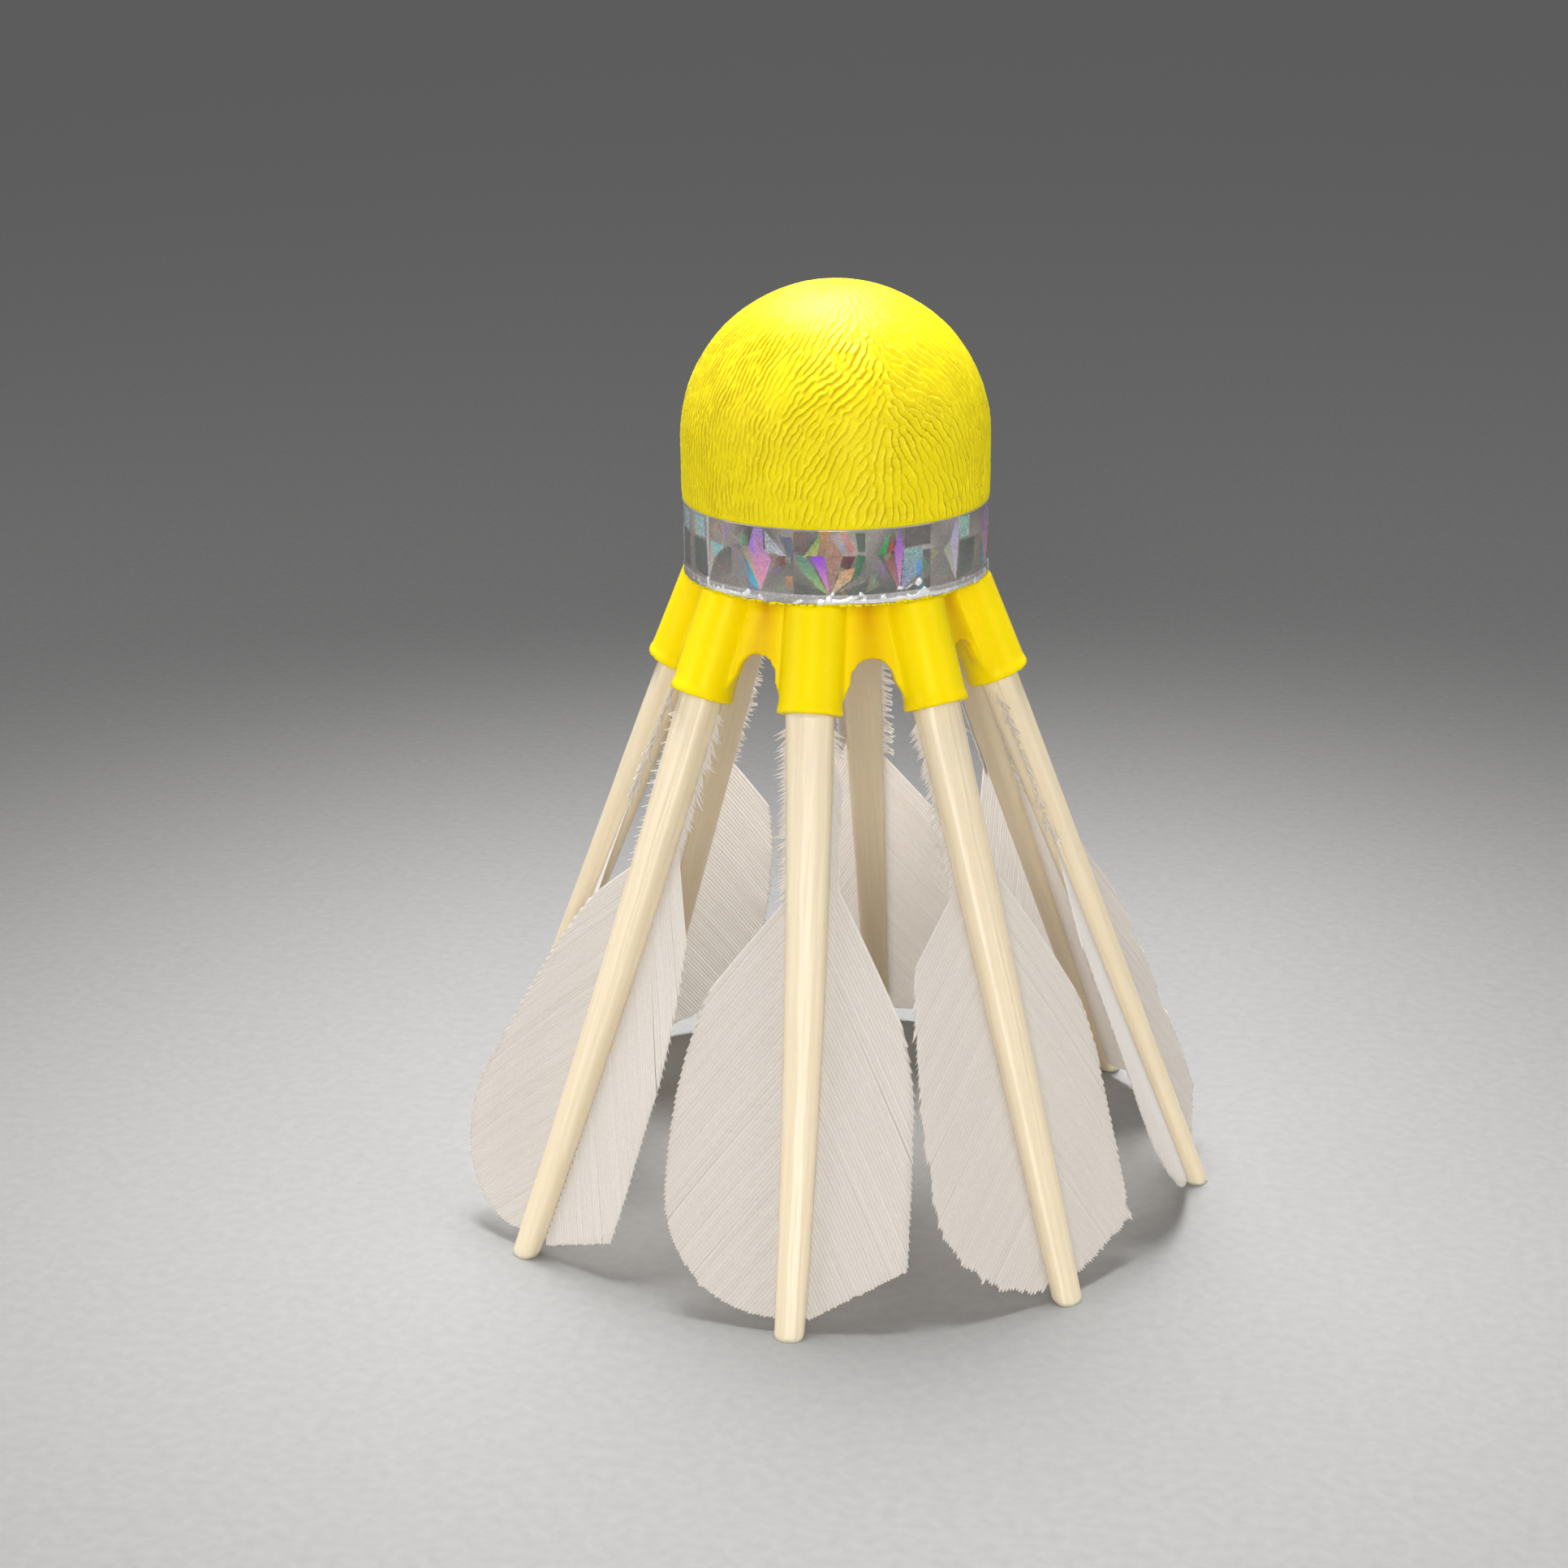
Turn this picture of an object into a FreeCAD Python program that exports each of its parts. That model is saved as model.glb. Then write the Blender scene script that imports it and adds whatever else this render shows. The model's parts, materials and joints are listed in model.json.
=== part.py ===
"""Badminton shuttlecock with eight plug-in feathers, as a parametric document. Millimetres.

The shuttlecock stands on its quill tips with the head up. The origin is the centre of the circle
of quill tips, on the surface it stands on, and +Z runs up through the head. Feather 1 faces -Y and
the others follow towards +X, one step apart. Every feather has its own frame: the origin at the
centre of its socket's rim, X along the rim, Y inwards and Z up the shaft into the socket.
"""
import FreeCAD, Part
import os

import Sketcher
from FreeCAD import Placement, Rotation, Vector

DIMS = {
    # head
    "head_bottom": 57.3,        # underside of the head, above the quill tips
    "dome_centre": 69.0,        # height where the cylinder turns into the half-sphere
    "core_radius": 12.75,
    "skin_radius": 13.35,
    "band_seat_radius": 13.15,  # the skin is pressed in under the band
    "band_radius": 13.35,
    "band_bottom": 57.45,
    "band_top": 63.8,
    # collar
    "plate_radius": 11.4,
    "plate_thickness": 1.2,
    "spigot_radius": 6.5,
    "spigot_bore_radius": 5.3,
    "spigot_height": 8.0,
    "web_thickness": 1.0,
    "web_inset": 0.55,          # the web lies this far inside the cone through the socket axes
    "web_bottom": 48.9,
    "arch_top": 52.4,
    "arch_radius": 1.9,
    "arch_half_width": 4.0,
    # sockets, along an axis tilted outwards by the skirt angle
    "skirt_angle": 21.66,
    "rim_radius": 14.4,         # from the axis of the shuttlecock to the centre of a rim
    "rim_height": 48.1,
    "socket_length": 11.0,      # before it is cut level with the head
    "socket_top_radius": 2.6,
    "socket_low_radius": 2.7,
    "lip_radius": 2.82,
    "lip_length": 0.9,
    "socket_bore_radius": 2.0,
    "socket_bore_depth": 8.0,
    # quills
    "plug_radius": 1.95,
    "plug_length": 7.8,
    "plug_bore_radius": 1.4,
    "plug_bore_depth": 7.0,
    "shaft_start": 0.15,        # gap between the rim and the thick part of the shaft
    "shaft_length": 51.8,
    "shaft_end": 54.0,          # the loft runs past the floor and is cut level with it
    "shaft_half_width": 2.05,
    "shaft_half_depth": 1.65,
    "tip_half_width": 1.25,
    "tip_half_depth": 1.0,
    # vanes
    "vane_thickness": 0.26,
    "vane_root_depth": 0.25,    # how far the vane runs into the side of the shaft
    "vane_plane": 0.55,         # the vane joins the shaft this far inside the shaft's centre line
    "vane_camber": 70.0,        # radius of the vane across its width
    "comb_start": 1.1,
    "comb_width": 0.85,         # clipped barbs beside the upper shaft
    "left_start": 15.3,
    "left_shoulder": 20.3,
    "left_shoulder_width": 7.0,
    "left_bulge": 29.5,
    "left_bulge_width": 10.3,
    "left_widest": 39.5,
    "left_width": 11.5,
    "left_turn": 47.0,
    "left_turn_width": 9.1,
    "right_start": 12.9,
    "right_shoulder": 19.0,
    "right_shoulder_width": 5.9,
    "right_bulge": 25.5,
    "right_bulge_width": 8.2,
    "right_widest": 33.0,
    "right_width": 9.4,
    "vane_end": 50.3,
}

# One row per feather: sideways lean of the tip and bow of the shaft, how many degrees each vane's
# edge is turned outwards, how wide each vane is as a share, the left vane's shares at its shoulder
# and bulge, the right vane's share at its shoulder, and how far down its lower corner is.
KEYS = ("lean", "bow", "left_turn", "right_turn", "left", "left_top", "left_mid",
        "right", "right_top", "corner")
ROWS = [
    (1.1, 0.35, 0.0, 0.0, 1.0, 1.0, 1.0, 1.0, 1.0, 45.8),
    (-0.3, 0.1, 0.0, 0.0, 0.91, 1.16, 1.0, 1.03, 0.88, 47.2),
    (0.1, 0.0, 0.5, 17.0, 0.97, 1.05, 1.0, 0.95, 1.0, 46.3),
    (-0.4, 0.1, 3.0, -3.0, 0.96, 0.95, 1.0, 0.96, 0.95, 45.4),
    (0.9, 0.0, -2.0, 2.0, 0.94, 0.98, 1.0, 0.97, 1.05, 46.4),
    (0.3, -0.1, 2.0, -2.0, 0.95, 1.05, 1.0, 1.0, 1.0, 45.6),
    (-0.2, 0.1, 4.0, -4.0, 0.98, 1.0, 1.0, 0.96, 0.95, 46.6),
    (-0.9, 0.5, 17.0, -10.0, 1.07, 0.79, 0.87, 0.84, 1.12, 47.3),
]
FEATHERS = [dict(zip(KEYS, row)) for row in ROWS]
STEP_ANGLE = 360.0 / len(FEATHERS)

doc = FreeCAD.newDocument("shuttlecock")


def make_sheet():
    """The driving dimensions, one cell each, with an alias for the expressions."""
    sheet = doc.addObject("Spreadsheet::Sheet", "dims")
    cells = dict(DIMS)
    for number, feather in enumerate(FEATHERS, start=1):
        for key, value in feather.items():
            cells[f"{key}_{number}"] = value
    for row, (alias, value) in enumerate(cells.items(), start=1):
        sheet.set(f"A{row}", alias)
        sheet.set(f"B{row}", str(value))
        sheet.setAlias(f"B{row}", alias)
    doc.recompute()
    return sheet


sheet = make_sheet()


def value_of(expression):
    """The number that an expression on the sheet has now."""
    return float(sheet.evalExpression(expression))


def bind(item, path, expression):
    """Let an expression on the sheet drive one property."""
    item.setExpression(path, expression)


def new_body(label):
    """An empty body whose label is its file's name."""
    body = doc.addObject("PartDesign::Body", label)
    body.Label = label
    return body


def new_sketch(body, role, name):
    """An empty sketch on one of the body's own origin planes."""
    sketch = body.newObject("Sketcher::SketchObject", name)
    plane = [item for item in body.Origin.OriginFeatures if item.Role == role][0]
    sketch.AttachmentSupport = [(plane, "")]
    sketch.MapMode = "FlatFace"
    return sketch


def place_point(sketch, geometry, end, x, y):
    """Fix one point of a sketch to two expressions, measured from the sketch's origin."""
    for kind, expression in (("DistanceX", x), ("DistanceY", y)):
        rule = Sketcher.Constraint(kind, -1, 1, geometry, end, value_of(expression))
        index = sketch.addConstraint(rule)
        bind(sketch, f"Constraints[{index}]", expression)


def vector_of(point):
    return Vector(value_of(point[0]), value_of(point[1]), 0)


def draw_outline(sketch, start, steps):
    """Draw a closed outline. A step is (end,) for a line or (via, end) for an arc."""
    edges = []
    here = start
    for step in steps:
        there = step[-1]
        if len(step) == 1:
            edge = sketch.addGeometry(Part.LineSegment(vector_of(here), vector_of(there)))
            first, last = 1, 2
        else:
            arc = Part.Arc(vector_of(here), vector_of(step[0]), vector_of(there))
            edge = sketch.addGeometry(arc)
            forward = sketch.getPoint(edge, 1).isEqual(vector_of(here), 1e-6)
            first, last = (1, 2) if forward else (2, 1)
        place_point(sketch, edge, first, *here)
        if len(step) == 2:
            via = sketch.addGeometry(Part.Point(vector_of(step[0])), True)
            place_point(sketch, via, 1, *step[0])
            sketch.addConstraint(Sketcher.Constraint("PointOnObject", via, 1, edge))
        edges.append((edge, first, last))
        here = there
    for (edge, _, last), (following, first, _) in zip(edges, edges[1:] + edges[:1]):
        sketch.addConstraint(Sketcher.Constraint("Coincident", edge, last, following, first))


def draw_circle(sketch, radius):
    """Draw a circle round the sketch's origin."""
    circle = sketch.addGeometry(Part.Circle(Vector(0, 0, 0), Vector(0, 0, 1), value_of(radius)))
    sketch.addConstraint(Sketcher.Constraint("Coincident", circle, 3, -1, 1))
    index = sketch.addConstraint(Sketcher.Constraint("Radius", circle, value_of(radius)))
    bind(sketch, f"Constraints[{index}]", radius)


def revolve(body, sketch, name, kind="Revolution"):
    """Turn a sketch once round the sketch's own vertical axis."""
    feature = body.newObject(f"PartDesign::{kind}", name)
    feature.Profile = sketch
    feature.ReferenceAxis = (sketch, ["V_Axis"])
    feature.Angle = 360
    return feature


def repeat_round(body, feature, name):
    """Repeat a feature of the collar for every feather."""
    pattern = body.newObject("PartDesign::PolarPattern", name)
    pattern.Originals = [feature]
    axis = [item for item in body.Origin.OriginFeatures if item.Role == "Z_Axis"][0]
    pattern.Axis = (axis, [""])
    pattern.Angle = 360
    pattern.Occurrences = len(FEATHERS)
    body.Tip = pattern
    return pattern


def make_core():
    """Cork head: cylinder and half-sphere, with a blind hole for the collar's spigot."""
    body = new_body("head_core")
    sketch = new_sketch(body, "XZ_Plane", "core_profile")
    hole_top = "dims.head_bottom + dims.spigot_height"
    dome_top = "dims.dome_centre + dims.core_radius"
    arc_via = ("dims.core_radius * cos(45)", "dims.dome_centre + dims.core_radius * sin(45)")
    draw_outline(sketch, ("dims.spigot_radius", "dims.head_bottom"), [
        (("dims.core_radius", "dims.head_bottom"),),
        (("dims.core_radius", "dims.dome_centre"),),
        (arc_via, ("0", dome_top)),
        (("0", hole_top),),
        (("dims.spigot_radius", hole_top),),
        (("dims.spigot_radius", "dims.head_bottom"),),
    ])
    revolve(body, sketch, "core_turn")
    return body


def make_skin():
    """Skin over the core, pressed in where the band sits."""
    body = new_body("head_cover")
    sketch = new_sketch(body, "XZ_Plane", "skin_profile")
    inner_via = ("dims.core_radius * cos(45)", "dims.dome_centre + dims.core_radius * sin(45)")
    outer_via = ("dims.skin_radius * cos(45)", "dims.dome_centre + dims.skin_radius * sin(45)")
    draw_outline(sketch, ("dims.core_radius", "dims.head_bottom"), [
        (("dims.band_seat_radius", "dims.head_bottom"),),
        (("dims.band_seat_radius", "dims.band_top"),),
        (("dims.skin_radius", "dims.band_top"),),
        (("dims.skin_radius", "dims.dome_centre"),),
        (outer_via, ("0", "dims.dome_centre + dims.skin_radius")),
        (("0", "dims.dome_centre + dims.core_radius"),),
        (inner_via, ("dims.core_radius", "dims.dome_centre")),
        (("dims.core_radius", "dims.head_bottom"),),
    ])
    revolve(body, sketch, "skin_turn")
    return body


def make_band():
    """Film ribbon round the lower end of the head."""
    body = new_body("head_band")
    sketch = new_sketch(body, "XZ_Plane", "band_profile")
    draw_outline(sketch, ("dims.band_seat_radius", "dims.band_bottom"), [
        (("dims.band_radius", "dims.band_bottom"),),
        (("dims.band_radius", "dims.band_top"),),
        (("dims.band_seat_radius", "dims.band_top"),),
        (("dims.band_seat_radius", "dims.band_bottom"),),
    ])
    revolve(body, sketch, "band_turn")
    return body


def web_radius(height):
    """Radius of the middle of the conical web at a height."""
    cone = f"dims.rim_radius - ({height} - dims.rim_height) * tan(dims.skirt_angle)"
    return f"{cone} - dims.web_inset"


def collar_hub(body):
    """Plate under the head, spigot in the core and conical web, in one turn."""
    sketch = new_sketch(body, "XZ_Plane", "hub_profile")
    plate_low = "dims.head_bottom - dims.plate_thickness"
    spigot_top = "dims.head_bottom + dims.spigot_height"
    half = "0.5 * dims.web_thickness / cos(dims.skirt_angle)"
    low = web_radius("dims.web_bottom")
    high = web_radius(plate_low)
    draw_outline(sketch, ("dims.spigot_bore_radius", spigot_top), [
        (("dims.spigot_radius", spigot_top),),
        (("dims.spigot_radius", "dims.head_bottom"),),
        (("dims.plate_radius", "dims.head_bottom"),),
        (("dims.plate_radius", plate_low),),
        ((f"{high} + {half}", plate_low),),
        ((f"{low} + {half}", "dims.web_bottom"),),
        ((f"{low} - {half}", "dims.web_bottom"),),
        ((f"{high} - {half}", plate_low),),
        (("dims.spigot_bore_radius", plate_low),),
        (("dims.spigot_bore_radius", spigot_top),),
    ])
    revolve(body, sketch, "hub_turn")


def collar_arches(body):
    """Arched window in the web between each two sockets."""
    sketch = new_sketch(body, "XZ_Plane", "arch_outline")
    turn = Rotation(Vector(0, 1, 0), 0.5 * STEP_ANGLE)
    sketch.AttachmentOffset = Placement(Vector(0, 0, 0), turn)
    foot = "dims.web_bottom - 2"
    spring = "dims.arch_top - dims.arch_radius"
    draw_outline(sketch, ("dims.arch_half_width", foot), [
        (("dims.arch_radius", spring),),
        (("0", "dims.arch_top"), ("-dims.arch_radius", spring)),
        (("-dims.arch_half_width", foot),),
        (("dims.arch_half_width", foot),),
    ])
    pocket = body.newObject("PartDesign::Pocket", "arch_cut")
    pocket.Profile = sketch
    bind(pocket, "Length", "dims.rim_radius + 6")
    pocket.Reversed = True
    before = body.Shape.Volume
    doc.recompute()
    if not pocket.Shape.Volume < before:
        raise RuntimeError("the arch cuts nothing")
    return repeat_round(body, pocket, "arches")


def tilt_along_socket(sketch):
    """Put a sketch of the YZ plane on feather 1's socket, with the rim's centre as its origin."""
    bind(sketch, "AttachmentOffset.Base.x", "-dims.rim_radius")
    bind(sketch, "AttachmentOffset.Base.y", "dims.rim_height")
    sketch.AttachmentOffset.Rotation.Axis = Vector(0, 0, 1)
    bind(sketch, "AttachmentOffset.Rotation.Angle", "-dims.skirt_angle")


def collar_sockets(body):
    """One tapered socket with a lip at its rim for each feather."""
    sketch = new_sketch(body, "YZ_Plane", "socket_profile")
    tilt_along_socket(sketch)
    draw_outline(sketch, ("0", "0"), [
        (("dims.lip_radius", "0"),),
        (("dims.lip_radius", "0.5 * dims.lip_length"),),
        (("dims.socket_low_radius", "dims.lip_length"),),
        (("dims.socket_top_radius", "dims.socket_length"),),
        (("0", "dims.socket_length"),),
        (("0", "0"),),
    ])
    return repeat_round(body, revolve(body, sketch, "socket_turn"), "sockets")


def collar_level(body):
    """Cut the tops of the sockets level with the head's underside, outside the spigot."""
    sketch = new_sketch(body, "XZ_Plane", "level_profile")
    high = "dims.head_bottom + dims.spigot_height"
    draw_outline(sketch, ("dims.spigot_radius", "dims.head_bottom"), [
        (("dims.rim_radius", "dims.head_bottom"),),
        (("dims.rim_radius", high),),
        (("dims.spigot_radius", high),),
        (("dims.spigot_radius", "dims.head_bottom"),),
    ])
    groove = revolve(body, sketch, "level_cut", "Groove")
    before = body.Shape.Volume
    doc.recompute()
    if not groove.Shape.Volume < before:
        raise RuntimeError("the level cut removes nothing")
    return groove


def collar_bores(body):
    """Blind bore in each socket that takes the feather's plug."""
    sketch = new_sketch(body, "YZ_Plane", "bore_profile")
    tilt_along_socket(sketch)
    draw_outline(sketch, ("0", "-3"), [
        (("dims.socket_bore_radius", "-3"),),
        (("dims.socket_bore_radius", "dims.socket_bore_depth"),),
        (("0", "dims.socket_bore_depth"),),
        (("0", "-3"),),
    ])
    groove = revolve(body, sketch, "bore_cut", "Groove")
    before = body.Shape.Volume
    doc.recompute()
    if not groove.Shape.Volume < before:
        raise RuntimeError("the bore cuts nothing")
    return repeat_round(body, groove, "bores")


def make_collar():
    """Moulded collar that holds the feathers under the head."""
    body = new_body("collar")
    collar_hub(body)
    doc.recompute()
    collar_arches(body)
    doc.recompute()
    collar_sockets(body)
    doc.recompute()
    collar_level(body)
    doc.recompute()
    collar_bores(body)
    return body


def along(number, distance):
    """Sideways place of a shaft's centre line at a distance down from the rim."""
    share = f"({distance}) / dims.shaft_length"
    bow = f"dims.bow_{number} * 4 * {share} * (1 - {share})"
    return f"(dims.lean_{number} * {share} + {bow})"


def tapered(start, end, distance):
    """A shaft size that shrinks evenly from the rim to the tip."""
    return f"(dims.{start} + (dims.{end} - dims.{start}) * ({distance}) / dims.shaft_length)"


def shaft_section(body, number, distance, name):
    """Rounded rectangle across the shaft at a distance down from the rim."""
    sketch = new_sketch(body, "XY_Plane", name)
    bind(sketch, "AttachmentOffset.Base.x", along(number, distance))
    bind(sketch, "AttachmentOffset.Base.z", f"-({distance})")
    wide = tapered("shaft_half_width", "tip_half_width", distance)
    deep = tapered("shaft_half_depth", "tip_half_depth", distance)
    side = f"0.4 * {wide}"
    face = f"0.35 * {deep}"
    bend_x = f"0.83 * {wide}"
    bend_y = f"0.82 * {deep}"
    draw_outline(sketch, (side, f"-{deep}"), [
        ((bend_x, f"-{bend_y}"), (wide, f"-{face}")),
        ((wide, face),),
        ((bend_x, bend_y), (side, deep)),
        ((f"-{side}", deep),),
        ((f"-{bend_x}", bend_y), (f"-{wide}", face)),
        ((f"-{wide}", f"-{face}"),),
        ((f"-{bend_x}", f"-{bend_y}"), (f"-{side}", f"-{deep}")),
        ((side, f"-{deep}"),),
    ])
    return sketch


def feather_placement(number):
    """Where a feather's own frame lies."""
    around = Rotation(Vector(0, 0, 1), (number - 1) * STEP_ANGLE)
    tilt = Rotation(Vector(1, 0, 0), -value_of("dims.skirt_angle"))
    rim = Vector(0, -value_of("dims.rim_radius"), value_of("dims.rim_height"))
    return Placement(around.multVec(rim), around.multiply(tilt))


def make_quill(number):
    """Quill: a hollow round plug for the socket and a tapered shaft cut level with the floor."""
    body = new_body(f"quill_{number}")
    stations = ["dims.shaft_start", "dims.shaft_length / 3", "dims.shaft_length * 2 / 3", "dims.shaft_end"]
    sections = []
    for index, distance in enumerate(stations):
        sections.append(shaft_section(body, number, distance, f"section_{number}_{index}"))
    shaft = body.newObject("PartDesign::AdditiveLoft", f"shaft_{number}")
    shaft.Profile = sections[0]
    shaft.Sections = sections[1:]
    shaft.Ruled = False
    doc.recompute()
    ring = new_sketch(body, "XY_Plane", f"plug_ring_{number}")
    draw_circle(ring, "dims.plug_radius")
    bind(ring, "AttachmentOffset.Base.z", "-0.5")
    plug = body.newObject("PartDesign::Pad", f"plug_{number}")
    plug.Profile = ring
    bind(plug, "Length", "dims.plug_length + 0.5")
    hole = new_sketch(body, "XY_Plane", f"plug_hole_{number}")
    draw_circle(hole, "dims.plug_bore_radius")
    bind(hole, "AttachmentOffset.Base.z", "dims.plug_length")
    bore = body.newObject("PartDesign::Pocket", f"plug_bore_{number}")
    bore.Profile = hole
    bind(bore, "Length", "dims.plug_bore_depth")
    cut = new_sketch(body, "YZ_Plane", f"floor_{number}")
    reach = 6
    level = "-(dims.rim_height / cos(dims.skirt_angle))"
    slope = f"{reach} * tan(dims.skirt_angle)"
    draw_outline(cut, (f"-{reach}", f"{level} - {slope}"), [
        ((f"{reach}", f"{level} + {slope}"),),
        ((f"{reach}", f"{level} - 8"),),
        ((f"-{reach}", f"{level} - 8"),),
        ((f"-{reach}", f"{level} - {slope}"),),
    ])
    trim = body.newObject("PartDesign::Pocket", f"tip_cut_{number}")
    trim.Profile = cut
    trim.Midplane = True
    trim.Length = 2 * reach
    return body


def vane_strip(body, number, side, name):
    """Thin cambered strip along the whole shaft, before it is cut to its outline."""
    sketch = new_sketch(body, "XY_Plane", f"strip_{name}")
    bind(sketch, "AttachmentOffset.Base.z", "-dims.comb_start")
    sketch.AttachmentOffset.Rotation.Axis = Vector(0, 0, 1)
    turn = f"dims.left_turn_{number}" if side < 0 else f"-dims.right_turn_{number}"
    bind(sketch, "AttachmentOffset.Rotation.Angle", turn)
    points = {}
    for where, reach in (("root", "0.4"), ("middle", "7.5"), ("edge", "15")):
        lift = f"({reach}) ^ 2 / (2 * dims.vane_camber)"
        points[where] = (f"{side} * {reach}", f"dims.vane_plane + {lift}")
        points[where + "_back"] = (f"{side} * {reach}", f"dims.vane_plane + dims.vane_thickness + {lift}")
    draw_outline(sketch, points["root"], [
        (points["middle"], points["edge"]),
        (points["edge_back"],),
        (points["middle_back"], points["root_back"]),
        (points["root"],),
    ])
    strip = body.newObject("PartDesign::Pad", f"pad_{name}")
    strip.Profile = sketch
    strip.Reversed = True
    bind(strip, "Length", "dims.vane_end - dims.comb_start")
    return strip


def trim_to_outline(body, number, side, name, steps):
    """Cut away everything of the strip outside the vane's outline."""
    sketch = new_sketch(body, "XZ_Plane", f"outline_{name}")

    def point(distance, out):
        return f"{along(number, distance)} + {side} * ({out})", f"-({distance})"

    def root(distance):
        width = tapered("shaft_half_width", "tip_half_width", distance)
        return point(distance, f"{width} - dims.vane_root_depth")

    start = root("dims.comb_start")
    outline = [tuple(point(*spot) for spot in step) for step in steps]
    for distance in ("dims.vane_end", "0.5 * (dims.comb_start + dims.vane_end)", "dims.comb_start"):
        outline.append((root(distance),))
    draw_outline(sketch, start, outline)
    corners = [(-22, 2), (22, 2), (22, -54), (-22, -54)]
    frame = [(f"{x}", f"{y}") for x, y in corners]
    draw_outline(sketch, frame[0], [(spot,) for spot in frame[1:] + frame[:1]])
    pocket = body.newObject("PartDesign::Pocket", f"trim_{name}")
    pocket.Profile = sketch
    pocket.Midplane = True
    pocket.Length = 30
    return pocket


def comb_edge(distance):
    """Width at the edge of the clipped barbs."""
    return f"{tapered('shaft_half_width', 'tip_half_width', distance)} + dims.comb_width"


def left_outline(number):
    """Rounded vane: straight shoulder, long bulge, round end."""
    share = f"dims.left_{number}"
    return [
        (("dims.comb_start", comb_edge("dims.comb_start")),),
        (("dims.left_start", comb_edge("dims.left_start")),),
        (("dims.left_shoulder", f"dims.left_shoulder_width * {share} * dims.left_top_{number}"),),
        (("dims.left_bulge", f"dims.left_bulge_width * {share} * dims.left_mid_{number}"),
         ("dims.left_widest", f"dims.left_width * {share}")),
        (("dims.left_turn", f"dims.left_turn_width * {share}"),
         ("dims.vane_end", "dims.tip_half_width + 0.3")),
    ]


def right_outline(number):
    """Narrower vane: straight shoulder, short bulge, then a straight edge to a sharp corner."""
    share = f"dims.right_{number}"
    return [
        (("dims.comb_start", comb_edge("dims.comb_start")),),
        (("dims.right_start", comb_edge("dims.right_start")),),
        (("dims.right_shoulder", f"dims.right_shoulder_width * {share} * dims.right_top_{number}"),),
        (("dims.right_bulge", f"dims.right_bulge_width * {share}"),
         ("dims.right_widest", f"dims.right_width * {share}")),
        ((f"dims.corner_{number}", f"dims.right_width * {share}"),),
        (("dims.vane_end", "dims.tip_half_width + 0.3"),),
    ]


def make_vane(number, side_name):
    """One vane of a feather, with the clipped comb beside the upper shaft."""
    side = -1 if side_name == "left" else 1
    body = new_body(f"vane_{side_name}_{number}")
    name = f"{side_name}_{number}"
    vane_strip(body, number, side, name)
    doc.recompute()
    steps = left_outline(number) if side_name == "left" else right_outline(number)
    trim_to_outline(body, number, side, name, steps)
    return body


def make_feather(number):
    """Quill and two vanes in one feather's frame."""
    bodies = [make_quill(number), make_vane(number, "left"), make_vane(number, "right")]
    for body in bodies:
        body.Placement = feather_placement(number)
    return bodies


def check_document():
    """Stop if any object failed to compute."""
    for item in doc.Objects:
        if "Invalid" in item.State or "Error" in item.State:
            raise RuntimeError(f"{item.Label} failed: {item.State}")


def write_parts(bodies):
    """Write every body to its own file, after checking its shape."""
    os.makedirs("parts", exist_ok=True)
    for body in bodies:
        shape = body.Shape
        if shape.isNull() or not shape.isValid() or len(shape.Solids) != 1:
            raise RuntimeError(f"{body.Label} is not one valid solid")
    for body in bodies:
        body.Shape.exportStep(f"parts/{body.Label}.step")


parts = [make_core(), make_skin(), make_band(), make_collar()]
for feather_number in range(1, len(FEATHERS) + 1):
    parts.extend(make_feather(feather_number))
doc.recompute()
check_document()
write_parts(parts)
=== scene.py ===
"""Looks of the feather shuttlecock: wrinkled skin, film band, moulded collar, quills and barbed vanes.

Sizes are in millimetres and turned into metres when a mesh is made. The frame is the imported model's:
origin on the floor under the head, +Z up, feather 1 facing -Y, the others following towards +X.
"""

import json
import math

import bmesh
import bpy
import numpy as np
from mathutils import Matrix, Vector


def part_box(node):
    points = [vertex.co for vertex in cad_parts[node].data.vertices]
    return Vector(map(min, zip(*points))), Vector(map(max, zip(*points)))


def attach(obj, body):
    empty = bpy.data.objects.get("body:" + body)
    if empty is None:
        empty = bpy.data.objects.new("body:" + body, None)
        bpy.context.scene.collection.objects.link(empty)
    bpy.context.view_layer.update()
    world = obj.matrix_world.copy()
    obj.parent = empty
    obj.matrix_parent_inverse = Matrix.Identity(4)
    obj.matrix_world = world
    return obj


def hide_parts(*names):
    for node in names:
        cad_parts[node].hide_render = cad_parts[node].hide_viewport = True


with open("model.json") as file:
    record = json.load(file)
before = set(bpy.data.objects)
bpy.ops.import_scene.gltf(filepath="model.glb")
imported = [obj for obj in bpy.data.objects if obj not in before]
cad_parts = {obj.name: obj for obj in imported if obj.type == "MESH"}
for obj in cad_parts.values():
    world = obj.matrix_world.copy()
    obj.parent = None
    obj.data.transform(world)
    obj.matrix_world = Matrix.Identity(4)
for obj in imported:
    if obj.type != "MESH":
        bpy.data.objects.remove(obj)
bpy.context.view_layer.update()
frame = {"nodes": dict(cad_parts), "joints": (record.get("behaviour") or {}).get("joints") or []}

MM = 0.001
TAU = 2.0 * math.pi
WHITE = (1.0, 1.0, 1.0)

# Places that the frame gives, in millimetres.
skin_low, skin_high = (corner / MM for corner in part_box("head_cover"))
band_low, band_high = (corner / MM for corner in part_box("head_band"))
SKIN_RADIUS = skin_high.x
HEAD_TOP = skin_high.z
DOME_CENTRE = HEAD_TOP - SKIN_RADIUS
HEAD_BOTTOM = skin_low.z
BAND_RADIUS = band_high.x
BAND_BOTTOM = band_low.z
BAND_TOP = band_high.z

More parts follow.
